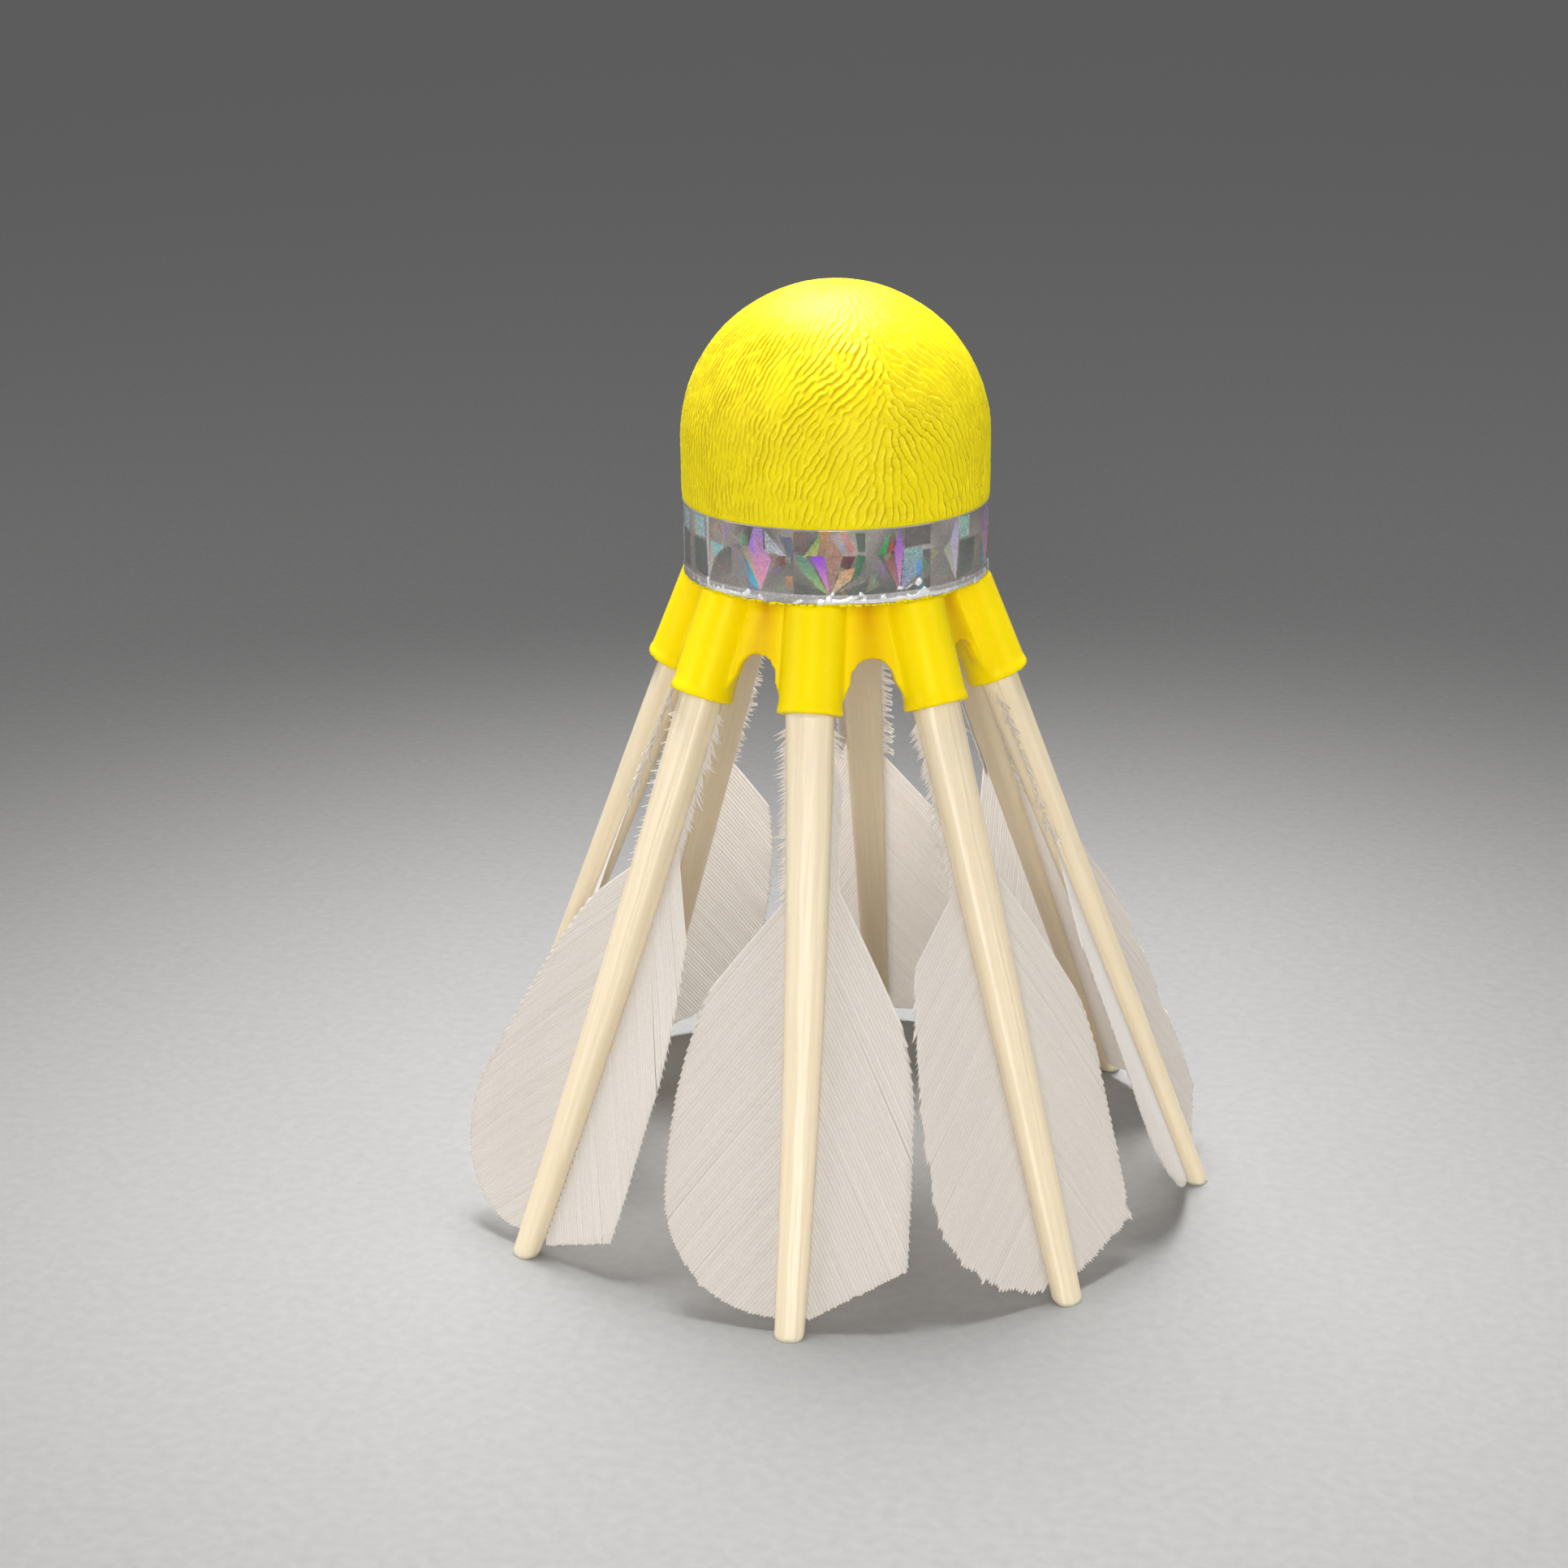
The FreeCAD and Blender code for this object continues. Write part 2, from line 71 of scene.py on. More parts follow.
# Collar and feather sizes that the CAD part has too.
RIM_RADIUS = 14.4
RIM_HEIGHT = 48.1
SHAFT_LENGTH = 51.8
SHAFT_START = 0.15
SHAFT_HALF = (2.05, 1.65)
TIP_HALF = (1.25, 1.0)
PLUG_RADIUS = 1.95
PLUG_LENGTH = 7.8
PLUG_BORE = 1.4
PLUG_BORE_DEPTH = 7.0
VANE_PLANE = 0.55
VANE_CAMBER = 70.0
VANE_END = 50.3
COMB_START = 1.1
COMB_WIDTH = 0.85
LEFT_START = 15.3
RIGHT_START = 12.9
LEFT_OUTLINE = [(20.3, 7.0), (29.5, 10.3), (39.5, 11.5), (47.0, 9.1)]
RIGHT_OUTLINE = [(19.0, 5.9), (25.5, 8.2), (33.0, 9.4)]

# One row per feather: lean, bow, outward turn of each vane, left share with its shoulder and bulge,
# right share with its shoulder, lower corner. These are as in CAD, apart from feather 3's left turn,
# which is 6 degrees more here. Then the looks: barb angles and fraying.
KEYS = ("lean", "bow", "left_turn", "right_turn", "left", "left_top", "left_mid",
        "right", "right_top", "corner", "left_barbs", "right_barbs", "left_fray", "right_fray")
ROWS = [
    (1.1, 0.35, 0.0, 0.0, 1.0, 1.0, 1.0, 1.0, 1.0, 45.8, 40, 28, 0.04, 0.04),
    (-0.3, 0.1, 0.0, 0.0, 0.91, 1.16, 1.0, 1.03, 0.88, 47.2, 46, 28, 0.15, 0.08),
    (0.1, 0.0, 6.5, 17.0, 0.97, 1.05, 1.0, 0.95, 1.0, 46.3, 40, 28, 0.06, 0.10),
    (-0.4, 0.1, 3.0, -3.0, 0.96, 0.95, 1.0, 0.96, 0.95, 45.4, 41, 27, 0.05, 0.05),
    (0.9, 0.0, -2.0, 2.0, 0.94, 0.98, 1.0, 0.97, 1.05, 46.4, 38, 29, 0.05, 0.05),
    (0.3, -0.1, 2.0, -2.0, 0.95, 1.05, 1.0, 1.0, 1.0, 45.6, 42, 26, 0.06, 0.05),
    (-0.2, 0.1, 4.0, -4.0, 0.98, 1.0, 1.0, 0.96, 0.95, 46.6, 40, 28, 0.05, 0.06),
    (-0.9, 0.5, 17.0, -10.0, 1.07, 0.79, 0.87, 0.84, 1.12, 47.3, 42, 29, 0.05, 0.03),
]
FEATHERS = [dict(zip(KEYS, row)) for row in ROWS]
NOTCHES = {(3, 1): [(29.6, 0.8, 0.7), (36.4, 1.0, 0.6)], (2, 1): [(46.0, 0.4, 0.5)]}
STEP = TAU / len(FEATHERS)


# ---------------------------------------------------------------- meshes

def make_piece(name, points, faces, smooth=True):
    """A mesh object from points in millimetres and an array of quads or a list of faces."""
    mesh = bpy.data.meshes.new(name)
    if isinstance(faces, np.ndarray):
        mesh.vertices.add(len(points))
        mesh.vertices.foreach_set("co", (np.asarray(points) * MM).astype(np.float32).ravel())
        mesh.loops.add(faces.size)
        mesh.loops.foreach_set("vertex_index", faces.astype(np.int32).ravel())
        mesh.polygons.add(len(faces))
        mesh.polygons.foreach_set("loop_start", np.arange(0, faces.size, faces.shape[1], dtype=np.int32))
    else:
        mesh.from_pydata([tuple(p * MM for p in point) for point in points], [], faces)
    mesh.update(calc_edges=True)
    mesh.validate()
    mesh.polygons.foreach_set("use_smooth", [smooth] * len(mesh.polygons))
    piece = bpy.data.objects.new(name, mesh)
    bpy.context.scene.collection.objects.link(piece)
    return piece


def give_values(piece, name, values, kind="FLOAT"):
    """Store a number or a vector for each point of a mesh, for its material to read."""
    attribute = piece.data.attributes.new(name, kind, "POINT")
    field = "value" if kind == "FLOAT" else "vector"
    attribute.data.foreach_set(field, np.asarray(values, np.float32).ravel())


def grid_quads(rows, columns, closed):
    """Quads of a grid of points, row by row. A closed grid joins its last column to its first."""
    across = columns if closed else columns - 1
    row, column = np.meshgrid(np.arange(rows - 1), np.arange(across), indexing="ij")
    after = (column + 1) % columns
    corners = [row * columns + column, row * columns + after,
               (row + 1) * columns + after, (row + 1) * columns + column]
    return np.stack(corners, axis=-1).reshape(-1, 4)


def waves(points, length, seed, count=24):
    """Smooth noise of about unit size: a sum of plane waves with the given shortest length."""
    rng = np.random.default_rng(seed)
    flat = np.asarray(points, float).reshape(-1, np.shape(points)[-1])
    directions = rng.normal(size=(count, flat.shape[1]))
    directions /= np.linalg.norm(directions, axis=1, keepdims=True)
    numbers = directions * (TAU / (length * rng.uniform(1.0, 3.0, size=(count, 1))))
    phases = rng.uniform(0, TAU, count)
    total = np.cos(flat @ numbers.T + phases).sum(axis=1) * math.sqrt(2.0 / count)
    return total.reshape(np.shape(points)[:-1])


def ring_points(radius, azimuth, height):
    """Points round the Z axis. Azimuth is from -Y towards +X."""
    sides = (radius * np.sin(azimuth), -radius * np.cos(azimuth), height)
    return np.stack(np.broadcast_arrays(*sides), axis=-1)


# ---------------------------------------------------------------- materials

def new_material(name):
    """A material with nodes, its Principled shader and its links."""
    material = bpy.data.materials.new(name)
    material.use_nodes = True
    tree = material.node_tree
    shader = tree.nodes["Principled BSDF"]
    return material, tree, shader


def set_inputs(tree, node, values):
    """Link a node's inputs to other nodes' outputs, or set them to numbers, vectors or colours."""
    for name, value in values.items():
        socket = node.inputs[name]
        if isinstance(value, bpy.types.NodeSocket):
            tree.links.new(value, socket)
        else:
            socket.default_value = (*value, 1.0) if socket.type == "RGBA" else value


def add_node(tree, kind, **values):
    """A node with its inputs linked or set by name."""
    node = tree.nodes.new(kind)
    set_inputs(tree, node, values)
    return node


def attribute_of(tree, name, output="Fac"):
    """A socket of a mesh attribute."""
    node = tree.nodes.new("ShaderNodeAttribute")
    node.attribute_name = name
    return node.outputs[output]


def noise_of(tree, vector, scale, detail=3.0):
    """Noise over a vector socket."""
    return add_node(tree, "ShaderNodeTexNoise", Vector=vector, Scale=scale, Detail=detail).outputs["Fac"]


def object_place(tree):
    """Where a point is on its object, in metres."""
    return tree.nodes.new("ShaderNodeTexCoord").outputs["Object"]


def ramp_of(tree, factor, stops):
    """A colour ramp over a factor socket. A stop is (place, colour) or (place, grey)."""
    node = add_node(tree, "ShaderNodeValToRGB", Fac=factor)
    elements = node.color_ramp.elements
    while len(elements) < len(stops):
        elements.new(0.5)
    for element, (place, colour) in zip(elements, stops):
        element.position = place
        element.color = (*colour, 1.0) if isinstance(colour, tuple) else (colour, colour, colour, 1.0)
    return node.outputs["Color"]


def mix_colours(tree, factor, first, second, blend="MIX"):
    """Mix two colour sockets or colours."""
    node = tree.nodes.new("ShaderNodeMix")
    node.data_type = "RGBA"
    node.blend_type = blend
    set_inputs(tree, node, {0: factor, 6: first, 7: second})
    return node.outputs[2]


def add_bump(tree, shader, height, distance, strength=1.0):
    """Bump from a height socket; distance is in metres."""
    node = add_node(tree, "ShaderNodeBump", Height=height, Distance=distance, Strength=strength)
    set_inputs(tree, shader, {"Normal": node.outputs["Normal"]})


def math_node(tree, operation, *values):
    """A maths node over sockets or numbers."""
    node = tree.nodes.new("ShaderNodeMath")
    node.operation = operation
    set_inputs(tree, node, dict(enumerate(values)))
    return node.outputs[0]


def fold_phase(tree, name):
    """Where in its fold a place of the skin is, 0 to 1, and how strong the fold is there."""
    parts = add_node(tree, "ShaderNodeSeparateXYZ", Vector=attribute_of(tree, name, "Vector"))
    angle = math_node(tree, "ARCTAN2", parts.outputs["Y"], parts.outputs["X"])
    share = math_node(tree, "MULTIPLY_ADD", angle, 1.0 / TAU, 0.5)
    return share, parts.outputs["Z"]


def skin_material():
    """Crinkled lemon-yellow skin: plates, a painted highlight on each crest, and painted shade as a darker
    ochre crease beside each crest and along the cracks.
    """
    material, tree, shader = new_material("skin_yellow")
    place = object_place(tree)
    # Painted light: crest is a painted highlight colour for the fold tops, crease a painted shade colour for
    # the fold hollows.
    plate, crest, crease = (0.83, 0.68, 0.002), (0.96, 0.87, 0.03), (0.64, 0.42, 0.001)
    share, strength = fold_phase(tree, "fold")
    folds = ramp_of(tree, share, [(0.0, plate), (0.28, plate), (0.48, crest), (0.60, plate),
                                  (0.74, crease), (0.92, plate), (1.0, plate)])
    folded = mix_colours(tree, strength, plate, folds)
    cross_share, cross_strength = fold_phase(tree, "crack")
    # Painted shade: the cracks are darkened along their bottoms, where the skin dips.
    cracks = ramp_of(tree, cross_share, [(0.40, WHITE), (0.5, (0.84, 0.79, 0.66)), (0.60, WHITE)])
    cracked = mix_colours(tree, cross_strength, WHITE, cracks)
    base = mix_colours(tree, 1.0, folded, cracked, "MULTIPLY")
    patches = ramp_of(tree, noise_of(tree, place, 420.0), [(0.3, (0.92, 0.91, 0.9)), (0.7, WHITE)])
    colour = mix_colours(tree, 1.0, base, patches, "MULTIPLY")
    heights = ramp_of(tree, share, [(0.0, 0.45), (0.28, 0.55), (0.5, 1.0), (0.74, 0.0), (0.92, 0.4),
                                    (1.0, 0.45)])
    height = math_node(tree, "MULTIPLY", heights, strength)
    rough = math_node(tree, "MULTIPLY_ADD", noise_of(tree, place, 3800.0), 0.22, height)
    add_bump(tree, shader, rough, 0.00011, 0.8)
    set_inputs(tree, shader, {"Base Color": colour, "Roughness": 0.5, "Specular IOR Level": 0.34,
                              "Specular Tint": (1.0, 0.92, 0.45), "Subsurface Weight": 0.08,
                              "Subsurface Radius": (1.0, 0.7, 0.05), "Subsurface Scale": 0.0006})
    return material


def film_material():
    """Patterned film: a tint for each facet, fine glitter painted into its colour as glints, scuffs, glossy
    on top.
    """
    material, tree, shader = new_material("band_film")
    place = object_place(tree)
    glitter = noise_of(tree, place, 5200.0, 2.0)
    # Painted glints: fine bright and dark flecks multiplied into the film's colour.
    painted_glints = ramp_of(tree, glitter, [(0.36, 0.84), (0.62, 1.12)])
    colour = mix_colours(tree, 0.6, attribute_of(tree, "tint", "Color"), painted_glints, "MULTIPLY")
    roughness = ramp_of(tree, noise_of(tree, place, 1500.0, 4.0), [(0.4, 0.16), (0.75, 0.42)])
    add_bump(tree, shader, glitter, 0.000015)
    set_inputs(tree, shader, {"Base Color": colour, "Roughness": roughness, "Metallic": 0.25,
                              "Coat Weight": 0.6, "Coat Roughness": 0.08})
    return material


def collar_material():
    """Smooth moulded yellow plastic that glows a little, with painted shade making it darker ochre between
    its sockets and up under the band.
    """
    material, tree, shader = new_material("collar_yellow")
    place = object_place(tree)
    cloud = noise_of(tree, place, 160.0)
    outer = ramp_of(tree, cloud, [(0.3, (0.91, 0.67, 0.0005)), (0.7, (0.94, 0.715, 0.0005))])
    # Painted shade: the recess value darkens the yellow to ochre between the sockets and under the band.
    colour = mix_colours(tree, attribute_of(tree, "recess"), outer, (0.56, 0.24, 0.0005))
    flow = noise_of(tree, place, 700.0, 2.0)
    roughness = ramp_of(tree, flow, [(0.3, 0.34), (0.7, 0.44)])
    add_bump(tree, shader, flow, 0.00002)
    set_inputs(tree, shader, {"Base Color": colour, "Roughness": roughness, "Specular IOR Level": 0.3,
                              "Specular Tint": (1.0, 0.85, 0.2), "Subsurface Weight": 0.15,
                              "Subsurface Radius": (1.0, 0.6, 0.01), "Subsurface Scale": 0.0015})
    return material


def quill_material():
    """Ivory keratin with long fibres, a little translucent, porous where it is cut."""
    material, tree, shader = new_material("quill_ivory")
    along = math_node(tree, "MULTIPLY", attribute_of(tree, "along"), 0.03)
    grain = add_node(tree, "ShaderNodeCombineXYZ", X=attribute_of(tree, "across"), Y=along)
    fibres = noise_of(tree, grain.outputs["Vector"], 4.0, 3.0)
    ivory = ramp_of(tree, fibres, [(0.2, (0.73, 0.615, 0.425)), (0.5, (0.76, 0.65, 0.46)),
                                   (0.8, (0.79, 0.69, 0.51))])
    pith = noise_of(tree, object_place(tree), 2600.0)
    porous = ramp_of(tree, pith, [(0.35, (0.45, 0.33, 0.18)), (0.6, (0.88, 0.80, 0.62))])
    colour = mix_colours(tree, attribute_of(tree, "cut"), ivory, porous)
    add_bump(tree, shader, fibres, 0.00003)
    set_inputs(tree, shader, {"Base Color": colour, "Roughness": 0.36, "Subsurface Weight": 0.35,
                              "Subsurface Radius": (1.0, 0.65, 0.3), "Subsurface Scale": 0.0015})
    return material


def vane_material():
    """White barbs: silky, thin enough to let light through, each barb its own tone, with painted shade along
    its edges.
    """
    material, tree, shader = new_material("vane_white")
    tone = attribute_of(tree, "tone")
    shades = ramp_of(tree, tone, [(0.0, (0.60, 0.53, 0.46)), (0.5, (0.85, 0.785, 0.72)),
                                  (1.0, (0.92, 0.87, 0.81))])
    fuzz = noise_of(tree, object_place(tree), 5000.0)
    speck = ramp_of(tree, fuzz, [(0.3, 0.93), (0.7, 1.0)])
    colour = mix_colours(tree, 1.0, shades, speck, "MULTIPLY")
    add_bump(tree, shader, fuzz, 0.00002)
    set_inputs(tree, shader, {"Base Color": colour, "Roughness": 0.55, "Sheen Weight": 0.25})
    glow = add_node(tree, "ShaderNodeBsdfTranslucent", Color=colour)
    both = tree.nodes.new("ShaderNodeMixShader")
    set_inputs(tree, both, {0: 0.36, 1: shader.outputs["BSDF"], 2: glow.outputs["BSDF"]})
    set_inputs(tree, tree.nodes["Material Output"], {"Surface": both.outputs["Shader"]})
    return material


def cork_material():
    """Composite cork under the skin: grains of three browns."""
    material, tree, shader = new_material("core_cork")
    cells = add_node(tree, "ShaderNodeTexVoronoi", Vector=object_place(tree), Scale=900.0)
    grains = cells.outputs["Distance"]
    browns = ramp_of(tree, grains, [(0.1, (0.30, 0.17, 0.08)), (0.35, (0.55, 0.36, 0.19)),
                                    (0.8, (0.70, 0.50, 0.30))])
    add_bump(tree, shader, grains, 0.0001)
    set_inputs(tree, shader, {"Base Color": browns, "Roughness": 0.85})
    return material


# ---------------------------------------------------------------- head

SWIRL = (math.radians(29.0), 75.0)      # the folds arch round this place: azimuth and height
ROWS_UP, COLUMNS = 128, 700             # of the skin's grid
FOLD_WAVE, SWIRL_WAVE = 0.43, 0.24      # distance between folds, and how much it grows near the swirl
WINDOW_REACH = 2.2                      # a wavelet ends this many of its lengths from its middle
CREST_LIFT, CREASE_DEPTH, CRACK_DEPTH = 0.10, 0.09, 0.07
SMOOTH_HEIGHT = 81.0                    # the folds fade out below this height


def from_swirl(azimuth):
    """Distance round the skin to the swirl, in radians."""
    return (azimuth - SWIRL[0] + math.pi) % TAU - math.pi


def fold_lean(azimuth, height):
    """How far the folds lean over to the east as they rise, in radians."""
    across = from_swirl(azimuth) * SKIN_RADIUS
    below = SWIRL[1] - height
    reach = np.abs(across) / 3.4
    fade = np.exp(-np.clip(below, 0, None) / 7.5) * np.exp(-np.clip(-below, 0, None) / 5.0)
    return -np.sign(across) * math.radians(64.0) * reach * np.exp(1.0 - reach) * fade


def wave_field(radius, height, arc, seed, count, turned, length, spacing):
    """Oriented wavelets scattered over the skin, summed as one complex wave that joins and branches."""
    rng = np.random.default_rng(seed)
    field = np.zeros((len(radius), COLUMNS), complex)
    total = arc[-1] - arc[0]
    for _ in range(count):
        place = arc[0] + total * rng.uniform()
        row = min(int(np.searchsorted(arc, place)), len(radius) - 1)
        middle = rng.uniform(0, TAU)
        near = math.exp(-(from_swirl(middle) / 0.75) ** 2)
        lean = fold_lean(middle, height[row]) + rng.normal(0, 0.13) + turned
        wave = (FOLD_WAVE + SWIRL_WAVE * near) * rng.uniform(0.88, 1.14) * spacing
        long, wide = length * rng.uniform(0.7, 1.3), wave * rng.uniform(0.75, 1.1)
        phase = rng.uniform(0, TAU)
        if rng.uniform() > radius[row] / SKIN_RADIUS + 0.02:
            continue
        low, high = np.searchsorted(arc, [place - WINDOW_REACH * long, place + WINDOW_REACH * long])
        span = min(math.pi, WINDOW_REACH * long / max(radius[row], 1.0))
        centre = int(middle / TAU * COLUMNS)
        half = int(span / TAU * COLUMNS) + 1
        chosen = np.arange(centre - half, centre + half + 1)
        east = (chosen / COLUMNS * TAU - middle)[None, :] * radius[low:high, None]
        north = (arc[low:high] - place)[:, None]
        along = north * math.cos(lean) + east * math.sin(lean)
        across = east * math.cos(lean) - north * math.sin(lean)
        window = np.exp(-0.5 * ((along / long) ** 2 + (across / wide) ** 2))
        wavelet = window * np.exp(1j * (TAU * across / wave + phase))
        np.add.at(field, (slice(low, high), chosen % COLUMNS), wavelet)
    return field / np.abs(field).mean()


def skin_profile():
    """The skin's outline above the band: distance along it, slope, radius and height of each row."""
    straight = DOME_CENTRE - BAND_TOP
    arc = np.linspace(0.0, straight + SKIN_RADIUS * math.pi / 2 - 0.12, ROWS_UP)
    angle = np.clip((arc - straight) / SKIN_RADIUS, 0, math.pi / 2)
    radius = SKIN_RADIUS * np.cos(angle)
    height = np.where(arc < straight, BAND_TOP + arc, DOME_CENTRE + SKIN_RADIUS * np.sin(angle))
    return arc, angle, radius, height


def skin_waves(arc, radius, height, azimuth):
    """The folds and the cracks across them: two complex waves, and how strong each is."""
    folds = wave_field(radius, height, arc, 11, 7000, 0.0, 1.15, 1.0)
    cracks = wave_field(radius, height, arc, 12, 6000, math.pi / 2, 0.35, 1.05)
    up, east = np.meshgrid(height, azimuth, indexing="ij")
    places = ring_points(radius[:, None], azimuth, up)
    folds = folds * np.exp(0.5j * waves(places, 0.6, 72, 60))
    patchy = np.clip(0.85 + 0.2 * waves(places, 2.5, 71, 40), 0.4, 1.2)
    patchy = patchy * np.clip((SMOOTH_HEIGHT - up) / 3.0, 0.22, 1)
    fold_strength = np.clip(np.abs(folds) * 1.3, 0, 1) * patchy * np.clip(arc / 0.5, 0.2, 1)[:, None]
    fold_strength *= np.clip(radius / 2.5, 0.1, 1)[:, None]
    near = np.exp(-(from_swirl(east) / 0.28) ** 2) * np.exp(-((up - 69.5) / 5.5) ** 2)
    crack_strength = np.clip(np.abs(cracks), 0, 1) * (0.38 + 0.55 * near) * patchy
    crack_strength = crack_strength * np.clip(arc / 0.5, 0, 1)[:, None]
    return folds, fold_strength, cracks, crack_strength


def skin_lift(folds, fold_strength, cracks, crack_strength):
    """How far the folds and cracks lift each point of the skin."""
    phase = np.angle(folds)
    crest = 0.5 + 0.5 * np.cos(phase)
    crease = np.exp(-((phase - 1.6) / 0.95) ** 2)
    crack = np.exp(-(np.angle(cracks) / 0.7) ** 2)
    lift = fold_strength * (CREST_LIFT * crest - CREASE_DEPTH * crease)
    lift = lift - crack_strength * CRACK_DEPTH * crack - 0.03
    lift[0] = -0.07
    return lift


def skin_edge():
    """Radius and height of the rows below the folds: a cut edge with teeth, and the seat of the band."""
    rng = np.random.default_rng(5)
    teeth = []
    while len(teeth) < COLUMNS:
        teeth += [rng.uniform(0.25, 1.0)] * int(rng.integers(2, 6)) + [0.0] * int(rng.integers(1, 3))
    teeth = np.array(teeth[:COLUMNS])
    seat = BAND_RADIUS - 0.2
    rows = [(SKIN_RADIUS - 0.5, 0.0, HEAD_BOTTOM + 0.02, 0.0),
            (seat + 0.02, 0.16, HEAD_BOTTOM + 0.05, -0.22),
            (seat + 0.02, 0.20, HEAD_BOTTOM + 0.10, -0.02),
            (seat, 0.0, HEAD_BOTTOM + 0.35, 0.0),
            (seat, 0.0, BAND_TOP - 0.15, 0.0)]
    radius = np.array([out + reach * teeth for out, reach, _, _ in rows])
    height = np.array([level + drop * teeth for _, _, level, drop in rows])
    return radius, height


def close_top(piece, rows):
    """Join the skin's last row to its top point, and merge points that lie together up there."""
    cap = bmesh.new()
    cap.from_mesh(piece.data)
    cap.verts.ensure_lookup_table()
    last = (rows - 1) * COLUMNS
    apex = cap.verts[last + COLUMNS]
    for column in range(COLUMNS):
        after = last + (column + 1) % COLUMNS
        cap.faces.new((cap.verts[last + column], cap.verts[after], apex)).smooth = True
    bmesh.ops.remove_doubles(cap, verts=cap.verts[last - 14 * COLUMNS:], dist=0.012 * MM)
    cap.to_mesh(piece.data)
    cap.free()


def make_skin():
    """The skin: pressed in under the band, wrinkled above it, with a ragged cut edge below."""
    arc, angle, radius, height = skin_profile()
    azimuth = np.arange(COLUMNS) / COLUMNS * TAU
    folds, fold_strength, cracks, crack_strength = skin_waves(arc, radius, height, azimuth)
    lift = skin_lift(folds, fold_strength, cracks, crack_strength)
    edge_radius, edge_height = skin_edge()
    r = np.vstack([edge_radius, radius[:, None] + lift * np.cos(angle)[:, None]])
    z = np.vstack([edge_height, height[:, None] + lift * np.sin(angle)[:, None]])
    points = np.vstack([ring_points(r, azimuth, z).reshape(-1, 3), [[0.0, 0.0, HEAD_TOP - 0.03]]])
    piece = make_piece("skin", points, grid_quads(len(r), COLUMNS, True))
    below = np.zeros(edge_radius.shape)
    for name, wave, strength in (("fold", folds, fold_strength), ("crack", cracks, crack_strength)):
        parts = [np.vstack([below, part]) for part in (wave.real, wave.imag, strength)]
        values = np.vstack([np.stack(parts, axis=-1).reshape(-1, 3), [[1.0, 0.0, 0.0]]])
        give_values(piece, name, values, "FLOAT_VECTOR")
    close_top(piece, len(r))
    piece.data.materials.append(skin_material())
    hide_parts("head_cover")
    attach(piece, "head")


MOTIFS = 14
FIRST_FOCUS = math.radians(6.6)     # azimuth of the first motif's focus
BAND_ROWS, BAND_COLUMNS = 60, 1400
DARK, TAUPE, PALE = (0.15, 0.155, 0.14), (0.29, 0.265, 0.245), (0.50, 0.48, 0.47)
ACCENTS = [(0.10, 0.42, 0.20), (0.12, 0.40, 0.46), (0.38, 0.14, 0.55), (0.70, 0.30, 0.42),
           (0.62, 0.34, 0.16), (0.46, 0.46, 0.20), (0.16, 0.22, 0.50), (0.40, 0.12, 0.10),
           (0.46, 0.44, 0.42)]
# A facet: corners across (in repeats, from the focus) and up the band (0 to 1), its colour at its top
# and at its bottom, and how strongly painted glints and dark flecks speckle it.
EMBER = [
    ([(-0.5, 0.98), (-0.3, 0.98), (-0.34, 0.7), (-0.5, 0.7)], (0.24, 0.17, 0.13), (0.16, 0.13, 0.12), 0.1),
    ([(-0.47, 0.62), (-0.4, 0.67), (-0.24, 0.53), (0, 0.12), (-0.15, 0.22), (-0.4, 0.45)],
     (0.08, 0.26, 0.23), (0.36, 0.55, 0.15), 0.2),
    ([(-0.26, 0.66), (-0.07, 0.66), (0, 0.12)], (0.30, 0.06, 0.75), (0.88, 0.36, 0.52), 0.0),
    ([(-0.07, 0.66), (0.02, 0.9), (0.19, 0.66), (0.02, 0.13)], (0.42, 0.22, 0.13), (0.34, 0.22, 0.22), 0.5),
    ([(-0.14, 1.0), (0.02, 1.0), (-0.06, 0.66), (-0.2, 0.66)], (0.52, 0.26, 0.11), (0.30, 0.20, 0.13), 0.3),
    ([(-0.36, 0.64), (-0.12, 0.95), (-0.17, 0.66)], (0.12, 0.42, 0.12), (0.50, 0.48, 0.16), 0.7),
    ([(0.14, 0.99), (0.21, 0.98), (0.36, 0.74), (0.27, 0.67)], (0.60, 0.24, 0.22), (0.50, 0.22, 0.18), 0.1),
    ([(0.36, 0.95), (0.5, 0.95), (0.5, 0.7), (0.4, 0.7)], (0.10, 0.12, 0.11), (0.09, 0.17, 0.12), 0.1),
    ([(0.2, 0.66), (0.37, 0.66), (0.28, 0.48), (0.15, 0.5)], (0.17, 0.06, 0.07), (0.10, 0.04, 0.05), 0.0),
    ([(0.38, 0.67), (0.5, 0.65), (0.43, 0.4), (0.05, 0.13), (0.33, 0.38)], (0.06, 0.22, 0.10),
     (0.06, 0.13, 0.09), 0.2),
    ([(0.36, 0.5), (0.3, 0.33), (0.02, 0.13), (0.15, 0.44)], (0.62, 0.36, 0.20), (0.58, 0.46, 0.26), 0.6),
]
